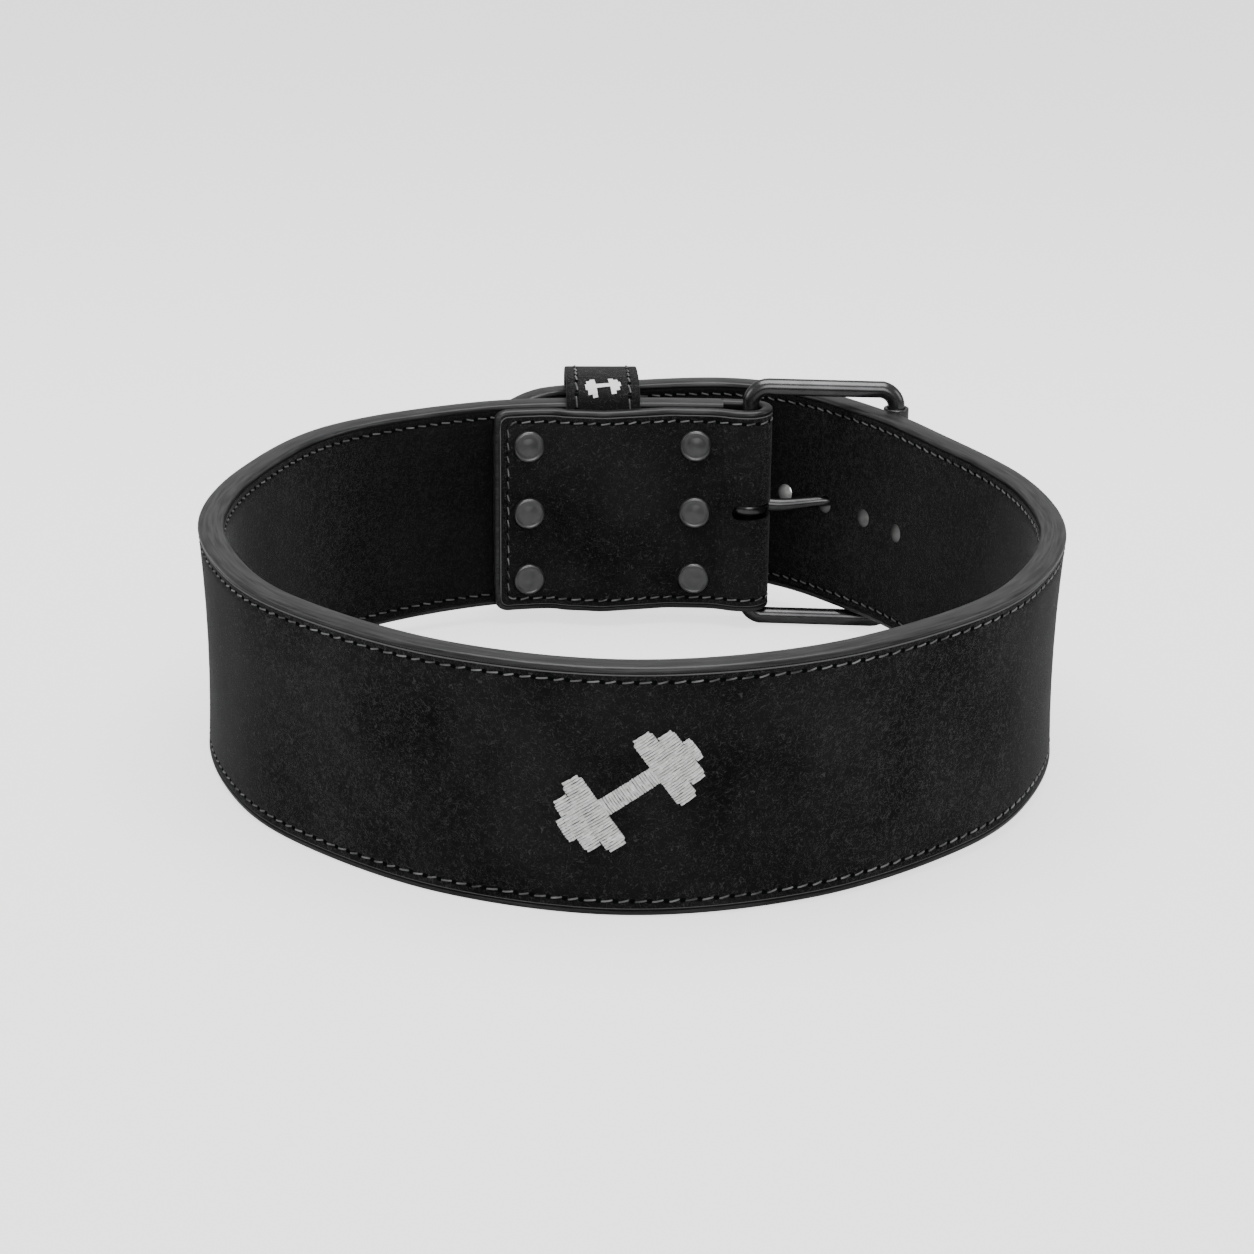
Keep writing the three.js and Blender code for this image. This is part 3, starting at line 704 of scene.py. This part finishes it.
def suede_face(name, from_run, flip):
    """A suede face of the belt; flipped, it lies on the inner side."""
    piece = flat_strip(name, from_run, tip_centre, suede_rows, suede_top)
    if from_run == 0:
        round_flap(piece)
    round_tip(piece)
    thicken(piece, suede_thick)
    only(piece)
    bpy.ops.object.mode_set(mode="EDIT")
    for depth, lift in dips:
        pick(piece, lambda v: v.co.z > suede_top - 1e-5 and abs(depth_of(v.co) - depth) < 1e-4)
        bpy.ops.transform.translate(value=(0, 0, lift))
    if flip:
        bpy.ops.mesh.select_all(action="SELECT")
        bpy.ops.transform.resize(value=(1, 1, -1), center_override=(0, 0, -leather_thick / 2))
        bpy.ops.mesh.flip_normals()
    bpy.ops.object.mode_set(mode="OBJECT")
    piece.data.materials.append(suede)
    punch_holes(piece)
    bend_round(piece)
    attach(piece, "root")
    return piece


outer_suede = suede_face("suede_outside", 0, False)
inner_suede = suede_face("suede_inside", hinge_run + ply_setback + 2 * ply_overlap, True)
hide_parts("outer_suede")
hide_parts("inner_suede")
bpy.data.objects.remove(punch)

# Stitches
# Grey thread in short slanted dashes, with dark discs between them for the needle holes and the
# painted shade round them. A row is made from three slightly different stitches repeated along a
# flat outline, then laid round the belt.
stitch_pitch = 0.0065
stitch_long = 0.0044
thread_radius = 0.00037
seam_depth = 0.006
seam_top = suede_top - 0.0004
seam_corner = 0.003
flap_seam = 0.007
inner_seam = hinge_run + 0.02
hole_shade_radius = 0.001
needle_deep = 0.0002

thread = bpy.data.materials.new("grey_thread")
thread.use_nodes = True
nodes = thread.node_tree.nodes
links = thread.node_tree.links
shader = nodes["Principled BSDF"]
shader.inputs["Roughness"].default_value = 0.75
coords = nodes.new("ShaderNodeTexCoord")
wear = noise(coords.outputs["Object"], 140, 2)
# Painted shade: the thread is painted at under half its brightness on the belt's inner side.
painted_inside_shade = remap(flat_height(), -0.003, -0.002, 0.45, 1)
paint(combine("MULTIPLY", remap(wear, 0.35, 0.65), painted_inside_shade), (0.04, 0.04, 0.041), (0.2, 0.2, 0.205))

# Near-black for the needle holes and the painted shade round them.
needle_hole_shade = bpy.data.materials.new("needle_hole_shade")
needle_hole_shade.use_nodes = True
nodes = needle_hole_shade.node_tree.nodes
links = needle_hole_shade.node_tree.links
shader = nodes["Principled BSDF"]
shader.inputs["Roughness"].default_value = 1
shader.inputs["Specular IOR Level"].default_value = 0
coords = nodes.new("ShaderNodeTexCoord")
paint(noise(coords.outputs["Object"], 500), (0.001, 0.002, 0.002), (0.006, 0.006, 0.006))


def stitch_unit(name):
    """Three stitches in a row along x, each with a dark disc before it: a needle hole and painted shade
    round it.
    """
    parts = []
    for i, (slant, length) in enumerate(((9, 1.0), (14, 0.9), (6, 1.06))):
        bpy.ops.mesh.primitive_circle_add(
            vertices=8, radius=hole_shade_radius, fill_type="NGON",
            location=(stitch_pitch * i, 0, 0.00006),
        )
        hole = bpy.context.object
        hole.scale.x = 1.25
        hole.data.materials.append(thread)
        hole.data.materials.append(needle_hole_shade)
        bpy.ops.object.mode_set(mode="EDIT")
        bpy.ops.mesh.extrude_region_move(TRANSFORM_OT_translate={"value": (0, 0, -needle_deep)})
        bpy.ops.mesh.select_all(action="SELECT")
        bpy.ops.mesh.normals_make_consistent(inside=False)
        bpy.ops.object.mode_set(mode="OBJECT")
        # Painted shade: the disc is dark all over and wider than a needle hole.
        for face in hole.data.polygons:
            face.material_index = 1
        bpy.ops.mesh.primitive_cylinder_add(
            vertices=6, radius=thread_radius, depth=stitch_long * length,
            location=(stitch_pitch * (i + 0.5), 0, thread_radius * 0.6),
            rotation=(0, math.radians(90), math.radians(slant)),
        )
        dash = bpy.context.object
        dash.data.materials.append(thread)
        bpy.ops.object.transform_apply(location=True, rotation=True)
        bpy.ops.object.mode_set(mode="EDIT")
        middle = stitch_pitch * (i + 0.5)
        pick(dash, lambda e: abs(e.verts[0].co.x - e.verts[1].co.x) > 0.5 * stitch_long, "EDGE")
        bpy.ops.mesh.subdivide(number_cuts=3)
        pick(dash, lambda v: abs(v.co.x - middle) > 0.4 * stitch_long)
        bpy.ops.transform.translate(value=(0, 0, -thread_radius))
        bpy.ops.object.mode_set(mode="OBJECT")
        parts += [hole, dash]
    for part in parts:
        part.select_set(True)
    bpy.ops.object.join()
    unit = bpy.context.object
    unit.name = name
    bpy.ops.object.transform_apply(location=True, rotation=True, scale=True)
    bpy.ops.object.shade_smooth_by_angle(angle=math.radians(50))
    return unit


def stitch_row(name, points, top):
    """Repeats the stitches along a flat outline through the given points."""
    outline = bpy.data.curves.new(name, "CURVE")
    outline.dimensions = "2D"
    row = outline.splines.new("POLY")
    row.points.add(len(points) - 1)
    for knot, (x, y) in zip(row.points, points):
        knot.co = (x, y, 0, 1)
    path = bpy.data.objects.new(name + "_line", outline)
    bpy.context.scene.collection.objects.link(path)
    length = row.calc_length()
    count = round(length / (3 * stitch_pitch))
    piece = stitch_unit(name)
    repeat = piece.modifiers.new("repeat", "ARRAY")
    repeat.count = count
    repeat.use_relative_offset = False
    repeat.use_constant_offset = True
    repeat.constant_offset_displace = (length / count, 0, 0)
    follow = piece.modifiers.new("follow", "CURVE")
    follow.object = path
    apply_modifiers(piece)
    bpy.data.objects.remove(path)
    piece.location.z = top
    bpy.ops.object.transform_apply(location=True)
    return piece


def seam_outline(start, corner):
    """The stitch line: along the bottom edge, round the tip, back along the top and down the start."""
    low = seam_depth
    high = band_height - seam_depth
    points = []
    for centre, radius, first, last in (
        ((start + corner, low + corner), corner, 180, 270),
        ((tip_centre, mid_height), mid_height - seam_depth, 270, 450),
        ((start + corner, high - corner), corner, 90, 180),
    ):
        steps = 4 if radius == corner else 36
        for i in range(steps + 1):
            angle = math.radians(first + (last - first) * i / steps)
            x = centre[0] + radius * math.cos(angle)
            points.append((x, centre[1] + radius * math.sin(angle)))
    return points + points[:1]


outside_seam = stitch_row("stitches_outside", seam_outline(flap_seam, seam_corner), seam_top)
bend_round(outside_seam)
inside_seam = stitch_row(
    "stitches_inside", seam_outline(inner_seam, seam_corner), leather_thick + seam_top
)
only(inside_seam)
bpy.ops.object.mode_set(mode="EDIT")
bpy.ops.mesh.select_all(action="SELECT")
bpy.ops.transform.resize(value=(1, 1, -1), center_override=(0, 0, 0))
bpy.ops.mesh.flip_normals()
bpy.ops.object.mode_set(mode="OBJECT")
bend_round(inside_seam)
for piece in (outside_seam, inside_seam):
    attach(piece, "root")

# Rivets
# Six dark metal caps with a slightly domed face and a rounded shoulder, each with its flat burr on
# the belt's outer face.
cap_radius = 0.0077
cap_high = 0.0024
burr_radius = 0.0056
burr_high = 0.0012
rivet_drop = 0.0024
rivet_pitch = 0.0337
cap_shoulder = 0.0011
cap_dome = 0.0004
burr_shoulder = 0.0004
rivet_foot = suede_top - 0.0001

rivet_paint = bpy.data.materials.new("rivet_paint")
rivet_paint.use_nodes = True
nodes = rivet_paint.node_tree.nodes
links = rivet_paint.node_tree.links
shader = nodes["Principled BSDF"]
shader.inputs["Metallic"].default_value = 0.9
shader.inputs["Roughness"].default_value = 0.36
coords = nodes.new("ShaderNodeTexCoord")
scuffs = noise(coords.outputs["Object"], 300, 4)
paint(remap(scuffs, 0.3, 0.7), (0.095, 0.095, 0.097), (0.11, 0.11, 0.112))
emboss(scuffs, 0.05, 0.0001)


def round_button(name, radius, high, place, shoulder, bulge):
    """A low round button on a flat face, with a rounded shoulder and a domed top."""
    bpy.ops.mesh.primitive_cylinder_add(
        vertices=32, radius=radius, depth=high, location=place + Vector((0, 0, high / 2))
    )
    button = bpy.context.object
    button.name = name
    bpy.ops.object.transform_apply(location=True)
    top = place.z + high
    bpy.ops.object.mode_set(mode="EDIT")
    pick(button, lambda e: all(v.co.z > top - 1e-6 for v in e.verts), "EDGE")
    bpy.ops.mesh.bevel(offset=shoulder, segments=3, profile=0.5)
    pick(button, lambda f: all(v.co.z > top - 1e-6 for v in f.verts), "FACE")
    bpy.ops.mesh.inset(thickness=radius * 0.1)
    bpy.ops.transform.translate(value=(0, 0, -bulge))
    for lift in (0.7, 1.0, 0.5):
        bpy.ops.mesh.inset(thickness=radius * 0.22)
        bpy.ops.transform.translate(value=(0, 0, bulge * lift))
    bpy.ops.object.mode_set(mode="OBJECT")
    return button


rivet_runs = []
for run in (rivet_far, rivet_near):
    rivet_runs.append((flap_walk[1][120 * flap_runs.index(run)], hinge_run + run))
number = 0
for cap_run, burr_run in rivet_runs:
    for row in (-1, 0, 1):
        number += 1
        height = mid_height - rivet_drop + row * rivet_pitch
        name = "rivet_cap_" + str(number)
        burr = round_button(
            "burr", burr_radius, burr_high, Vector((burr_run, height, rivet_foot)), burr_shoulder, 0
        )
        cap = round_button(
            name, cap_radius, cap_high, Vector((cap_run, height + flap_drop, rivet_foot)),
            cap_shoulder, cap_dome,
        )
        burr.select_set(True)
        bpy.ops.object.join()
        bpy.ops.object.shade_smooth_by_angle(angle=math.radians(40))
        bend_round(cap)
        cap.data.materials.append(rivet_paint)
        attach(cap, "root")
        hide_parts("rivet_" + str(number))

# Buckle
# A rectangle of round black wire, a roller sleeve on its outer bar, and a prong whose eye turns on
# the hinge bar and whose point lies over the roller.
prong_base = 0.0032
prong_tip = 0.0022
eye_thick = 0.0057
eye_high = 0.0068
roller_soft = 0.0005

black_steel = bpy.data.materials.new("black_steel")
black_steel.use_nodes = True
nodes = black_steel.node_tree.nodes
links = black_steel.node_tree.links
shader = nodes["Principled BSDF"]
shader.inputs["Metallic"].default_value = 0.9
shader.inputs["Roughness"].default_value = 0.25
coords = nodes.new("ShaderNodeTexCoord")
mottle = noise(coords.outputs["Object"], 90, 5)
paint(remap(mottle, 0.3, 0.7), (0.055, 0.055, 0.056), (0.09, 0.09, 0.092))
emboss(noise(coords.outputs["Object"], 700, 3), 0.05, 0.0001)

upright = Matrix((reach, Vector((0, 0, 1)), reach.cross(Vector((0, 0, 1))))).transposed().to_4x4()
upright.translation = hinge
low_side = -frame_below
high_side = frame_height - frame_below
bpy.ops.object.select_all(action="DESELECT")
bpy.ops.mesh.primitive_circle_add(
    vertices=20, radius=wire_radius, location=(0, low_side + frame_bend, 0),
    rotation=(math.radians(90), 0, 0),
)
wire = bpy.context.object
wire.name = "buckle_wire"
bpy.ops.object.transform_apply(location=True, rotation=True)
bpy.ops.object.mode_set(mode="EDIT")
bpy.ops.mesh.select_all(action="SELECT")
long_side = high_side - low_side - 2 * frame_bend
short_side = frame_length - 2 * frame_bend
corners = [
    ((frame_bend, low_side + frame_bend), (short_side, 0)),
    ((frame_length - frame_bend, low_side + frame_bend), (0, long_side)),
    ((frame_length - frame_bend, high_side - frame_bend), (-short_side, 0)),
    ((frame_bend, high_side - frame_bend), (0, -long_side)),
]
for (x, y), (step_x, step_y) in corners:
    bpy.ops.mesh.spin(steps=8, angle=-math.radians(90), center=(x, y, 0), axis=(0, 0, 1))
    bpy.ops.mesh.extrude_region_move(TRANSFORM_OT_translate={"value": (step_x, step_y, 0)})
bpy.ops.mesh.select_all(action="SELECT")
bpy.ops.mesh.remove_doubles(threshold=1e-5)
bpy.ops.mesh.normals_make_consistent(inside=False)
bpy.ops.object.mode_set(mode="OBJECT")
bpy.ops.object.shade_smooth()
seat_piece(wire, upright)
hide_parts("buckle_frame")

bpy.ops.object.select_all(action="DESELECT")
bpy.ops.mesh.primitive_cylinder_add(
    vertices=32, radius=roller_radius, depth=roller_high - roller_low, end_fill_type="NOTHING",
    location=outer_bar + Vector((0, 0, (roller_high + roller_low) / 2)),
)
roller = bpy.context.object
roller.name = "roller_sleeve"
bpy.ops.object.transform_apply(location=True)
wall = roller.modifiers.new("wall", "SOLIDIFY")
wall.thickness = roller_radius - wire_radius - clear
wall.offset = -1
edge = roller.modifiers.new("edge", "BEVEL")
edge.width = roller_soft
edge.segments = 3
edge.limit_method = "ANGLE"
edge.angle_limit = math.radians(50)
apply_modifiers(roller)
bpy.ops.object.shade_smooth_by_angle(angle=math.radians(50))
seat_piece(roller)
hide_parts("buckle_roller")

eye_middle = wire_radius + clear + eye_thick / 2
bpy.ops.mesh.primitive_torus_add(
    major_segments=32, minor_segments=16, major_radius=eye_middle, minor_radius=eye_thick / 2
)
eye = bpy.context.object
eye.name = "prong_eye"
eye.scale.z = eye_high / eye_thick
eye.location = hinge + Vector((0, 0, mid_height))
bpy.ops.object.transform_apply(location=True, scale=True)
bpy.ops.object.shade_smooth()
seat_piece(eye)
base_line = hinge.y + wire_radius + clear + prong_base
on_roller = roller_radius + clear + prong_tip
prong_path = smooth_knots([
    Vector((hinge.x - 0.001, base_line, mid_height)),
    Vector((hinge.x + 0.22 * frame_length, base_line + 0.0004, mid_height - 0.0024)),
    Vector((crossing_place.x, crossing_place.y, hole_height + 0.0006)),
    Vector((outer_bar.x + 0.0005, outer_bar.y + on_roller + 0.0002, hole_height)),
    Vector((outer_bar.x + 0.008, outer_bar.y + on_roller - 0.0022, hole_height)),
])
shaft_line = bpy.data.curves.new("prong_shaft", "CURVE")
shaft_line.dimensions = "3D"
shaft_line.resolution_u = 8
shaft_line.bevel_depth = prong_base
shaft_line.bevel_resolution = 5
shaft_line.use_fill_caps = True
shaft_spline = shaft_line.splines.new("BEZIER")
shaft_spline.bezier_points.add(len(prong_path) - 1)
slim = prong_tip / prong_base
for point, (left, place, right), size in zip(
    shaft_spline.bezier_points, prong_path, (1, 0.96, 0.8, slim, 0.6 * slim)
):
    point.handle_left_type = "FREE"
    point.handle_right_type = "FREE"
    point.handle_left = left
    point.co = place
    point.handle_right = right
    point.radius = size
shaft = bpy.data.objects.new("prong_shaft", shaft_line)
bpy.context.scene.collection.objects.link(shaft)
only(shaft)
bpy.ops.object.convert(target="MESH")
bpy.ops.object.shade_smooth_by_angle(angle=math.radians(50))
seat_piece(shaft)
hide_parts("buckle_prong")
for piece in (wire, roller, eye, shaft):
    if not piece.data.materials:
        piece.data.materials.append(black_steel)
    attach(piece, "root")

# Keeper
# A suede-faced leather loop round the band and the tongue, stitched near both sides. It is made
# flat, x round the loop and y across its width, and is bent along the loop's outline.
keeper_crown = 0.007
keeper_rise = 0.002
keeper_seam = 0.005

keeper_place, keeper_along, keeper_out = stand_at(belt_walk, hinge_run + keeper_run)


def tongue_reach(low, high):
    """How far out the tongue's outer face comes, seen from the keeper, between two places along it."""
    reached = []
    for run in [belt_length - 0.28 + 0.001 * i for i in range(280)]:
        place, along, out = stand_at(belt_walk, run)
        offset = place + out * suede_stand - keeper_place
        if low < offset.dot(keeper_along) < high:
            reached.append(offset.dot(keeper_out))
    return max(reached)


keeper_half = keeper_wide / 2
near_hinge = tongue_reach(-keeper_half - 0.001, -keeper_half + 0.004)
near_tip = tongue_reach(keeper_half - 0.004, keeper_half + 0.001)
belly = tongue_reach(-0.002, 0.002) - (near_hinge + near_tip) / 2
keeper_inner = -(leather_thick + suede_stand + clear) - 0.0002
keeper_outer = (near_hinge + near_tip) / 2 + belly + clear
keeper_skew = (near_hinge - near_tip) / 2


def keeper_outline():
    """Inner face of the loop, as (out, height) points: up the outer leg and down the inner one."""
    middle = (keeper_inner + keeper_outer) / 2
    half = (keeper_outer - keeper_inner) / 2
    turn_in = 0.002
    points = []
    for x, first in ((keeper_inner + turn_in, 180), (keeper_outer - turn_in, 270)):
        for i in range(5):
            angle = math.radians(first + 22.5 * i)
            points.append((x + turn_in * math.cos(angle), -clear + turn_in * (1 + math.sin(angle))))
    for i in range(33):
        angle = math.pi * i / 32
        across = math.cos(angle)
        bent = math.copysign(abs(across) ** 0.7, across)
        crown = (keeper_crown + keeper_rise / 2) * abs(math.sin(angle)) ** 0.8
        points.append((middle + half * bent, band_height + crown))
    return points + points[:1]


loop_points = keeper_outline()
keeper_line = bpy.data.curves.new("keeper_line", "CURVE")
keeper_line.dimensions = "2D"
loop = keeper_line.splines.new("POLY")
loop.points.add(len(loop_points) - 1)
for knot, (x, y) in zip(loop.points, loop_points):
    knot.co = (x, y, 0, 1)
loop_length = loop.calc_length()
keeper_path = bpy.data.objects.new("keeper_path", keeper_line)
bpy.context.scene.collection.objects.link(keeper_path)

# The tongue leaves the band at a slant, so the cage brings the loop's outer leg nearer to the band
# on the tip's side and lets the loop stand higher there.
keeper_cage = box_lattice(
    "keeper_cage", (keeper_inner, 0, -keeper_half), (keeper_outer, band_height, keeper_half), (2, 2, 2)
)
for point in keeper_cage.data.points:
    hinge_side = math.copysign(1, point.co.z)
    shift = Vector((0, 0, 0))
    if point.co.x > 0:
        shift.x = hinge_side * keeper_skew / keeper_cage.scale.x
    if point.co.y > 0:
        shift.y = -hinge_side * keeper_rise / 2 / keeper_cage.scale.y
    point.co_deform = point.co + shift
keeper_upright = Matrix((keeper_out, Vector((0, 0, 1)), -keeper_along)).transposed().to_4x4()
keeper_upright.translation = keeper_place


def wrap_keeper(piece):
    """Bends a flat piece round the keeper's loop and puts it in its place."""
    only(piece)
    piece.rotation_euler.x = math.radians(90)
    bpy.ops.object.transform_apply(rotation=True)
    line = piece.modifiers.new("line", "CURVE")
    line.object = keeper_path
    cage = piece.modifiers.new("cage", "LATTICE")
    cage.object = keeper_cage
    apply_modifiers(piece)
    seat_piece(piece, keeper_upright)
    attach(piece, "root")


bpy.ops.object.select_all(action="DESELECT")
bpy.ops.mesh.primitive_grid_add(x_subdivisions=160, y_subdivisions=12, size=1)
strap = bpy.context.object
strap.name = "keeper_strap"
strap.scale = (loop_length, keeper_wide, 1)
strap.location.x = loop_length / 2
bpy.ops.object.transform_apply(location=True, scale=True)
if strap.data.polygons[0].normal.z < 0:
    strap.data.flip_normals()
wall = strap.modifiers.new("wall", "SOLIDIFY")
wall.thickness = keeper_leather
wall.offset = 1
apply_modifiers(strap)
bpy.ops.object.mode_set(mode="EDIT")
pick(strap, lambda f: abs(f.normal.x) > 0.9, "FACE")
bpy.ops.mesh.delete(type="FACE")
pick(
    strap,
    lambda e: all(abs(v.co.y) > keeper_half - 1e-5 and v.co.z > 0.001 for v in e.verts)
    and abs(e.verts[0].co.x - e.verts[1].co.x) > 1e-5,
    "EDGE",
)
bpy.ops.mesh.bevel(offset=0.0007, segments=2, profile=0.5)
bpy.ops.object.mode_set(mode="OBJECT")
wrap_keeper(strap)
bpy.ops.object.mode_set(mode="EDIT")
bpy.ops.mesh.select_all(action="SELECT")
bpy.ops.mesh.remove_doubles(threshold=5e-5)
bpy.ops.object.mode_set(mode="OBJECT")
bpy.ops.object.shade_smooth_by_angle(angle=math.radians(40))
strap.data.materials.append(suede)
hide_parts("keeper_loop")

for side in (-1, 1):
    y = side * (keeper_half - keeper_seam)
    seam = stitch_row("keeper_stitches", [(0, y), (loop_length, y)], keeper_leather)
    wrap_keeper(seam)

# White thread
# Off-white embroidery thread with a soft sheen. Its colour wavers a little, as it does from strand
# to strand.
white_thread = bpy.data.materials.new("white_thread")
white_thread.use_nodes = True
nodes = white_thread.node_tree.nodes
links = white_thread.node_tree.links
shader = nodes["Principled BSDF"]
shader.inputs["Roughness"].default_value = 0.55
shader.inputs["Sheen Weight"].default_value = 0.2
coords = nodes.new("ShaderNodeTexCoord")
shade = noise(coords.outputs["Object"], 700, 3)
paint(remap(shade, 0.3, 0.7), (0.55, 0.55, 0.54), (0.85, 0.85, 0.84))


# Dumbbell
# A plain dumbbell in raised satin stitch on the middle of the back panel, and a small printed one on
# the keeper. Both are drawn by the same blocks: (from, to, half height) along one half of the bar.
bell_blocks = [
    (0, 0.0122, 0.0036), (0.012, 0.0206, 0.0165), (0.0205, 0.0276, 0.012), (0.0275, 0.031, 0.005),
]
bell_tilt = math.radians(35)
bell_height = 0.0512
bell_rise = 0.0004
bell_pitch = 0.00115
bell_wander = 0.00022


def thread_block(low, high, half, along_bar):
    """A block of arched threads; along the bar they run lengthwise, otherwise across it."""
    wide = high - low if along_bar else 2 * half
    tall = 2 * half if along_bar else high - low
    bpy.ops.object.select_all(action="DESELECT")
    bpy.ops.mesh.primitive_cylinder_add(
        vertices=6, radius=bell_pitch * 0.44, depth=wide, rotation=(0, math.radians(90), 0)
    )
    block = bpy.context.object
    bpy.ops.object.transform_apply(rotation=True)
    bpy.ops.object.mode_set(mode="EDIT")
    pick(block, lambda e: abs(e.verts[0].co.x - e.verts[1].co.x) > wide / 2, "EDGE")
    bpy.ops.mesh.subdivide(number_cuts=4)
    for edge, lift in ((wide * 0.4, 0.0003), (wide * 0.2, 0.00015)):
        pick(block, lambda v: abs(v.co.x) < edge)
        bpy.ops.transform.translate(value=(0, 0, lift))
    bpy.ops.object.mode_set(mode="OBJECT")
    count = max(round(tall / bell_pitch), 2)
    rows = block.modifiers.new("rows", "ARRAY")
    rows.count = count
    rows.use_relative_offset = False
    rows.use_constant_offset = True
    rows.constant_offset_displace = (0, tall / count, 0)
    apply_modifiers(block)
    block.location.y = -tall / 2 + tall / count / 2
    bpy.ops.object.transform_apply(location=True)
    if along_bar:
        bpy.ops.object.mode_set(mode="EDIT")
        pick(block, lambda v: abs(v.co.y) > tall / 2 - 1.4 * bell_pitch)
        bpy.ops.transform.resize(value=(0.8, 1, 1), center_override=(0, 0, 0))
        bpy.ops.object.mode_set(mode="OBJECT")
    else:
        block.rotation_euler.z = math.radians(90)
    block.location.x = (low + high) / 2
    bpy.ops.object.transform_apply(location=True, rotation=True)
    return block


blocks = []
for side in (-1, 1):
    for low, high, half in bell_blocks:
        first, last = sorted((side * low, side * high))
        blocks.append(thread_block(first, last, half, along_bar=half > 0.004))
for block in blocks:
    block.select_set(True)
bpy.ops.object.join()
bell = bpy.context.object
bell.name = "embroidery"
bpy.ops.object.mode_set(mode="EDIT")
bpy.ops.mesh.select_all(action="SELECT")
bpy.ops.transform.vertex_random(offset=bell_wander, seed=3)
bpy.ops.object.mode_set(mode="OBJECT")
front_run = min(
    (hinge_run + band_run * (0.3 + 0.0005 * i) for i in range(600)),
    key=lambda run: stand_at(belt_walk, run)[0].y,
)
bell.rotation_euler.z = bell_tilt
bell.location = (front_run, bell_height, suede_top + bell_rise)
bpy.ops.object.transform_apply(location=True, rotation=True)
bend_round(bell)
bpy.ops.object.shade_smooth_by_angle(angle=math.radians(60))
bell.data.materials.append(white_thread)
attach(bell, "root")
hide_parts("embroidered_dumbbell")

white_print = bpy.data.materials.new("white_print")
white_print.use_nodes = True
nodes = white_print.node_tree.nodes
links = white_print.node_tree.links
shader = nodes["Principled BSDF"]
shader.inputs["Roughness"].default_value = 0.6
coords = nodes.new("ShaderNodeTexCoord")
paint(noise(coords.outputs["Object"], 900, 3), (0.66, 0.66, 0.65), (0.78, 0.78, 0.77))

print_size = 0.28
print_tilt = math.radians(10)
print_thick = 0.00015
print_above_leg = 0.006
boxes = []
for side in (-1, 1):
    for low, high, half in bell_blocks:
        bpy.ops.mesh.primitive_grid_add(x_subdivisions=6, y_subdivisions=6, size=1)
        box = bpy.context.object
        box.scale = ((high - low) * print_size, 2 * half * print_size, 1)
        box.location.x = side * (low + high) / 2 * print_size
        bpy.ops.object.transform_apply(location=True, scale=True)
        boxes.append(box)
for box in boxes:
    box.select_set(True)
bpy.ops.object.join()
mark = bpy.context.object
mark.name = "keeper_print"
wall = mark.modifiers.new("wall", "SOLIDIFY")
wall.thickness = print_thick
wall.offset = 1
apply_modifiers(mark)
leg_top = loop_length - band_height
mark.rotation_euler.z = math.radians(90) + print_tilt
mark.location = (leg_top - print_above_leg, 0, keeper_leather)
bpy.ops.object.transform_apply(location=True, rotation=True)
wrap_keeper(mark)
mark.data.materials.append(white_print)

for helper in (keeper_path, keeper_cage, belt_line, belt_cage):
    bpy.data.objects.remove(helper)
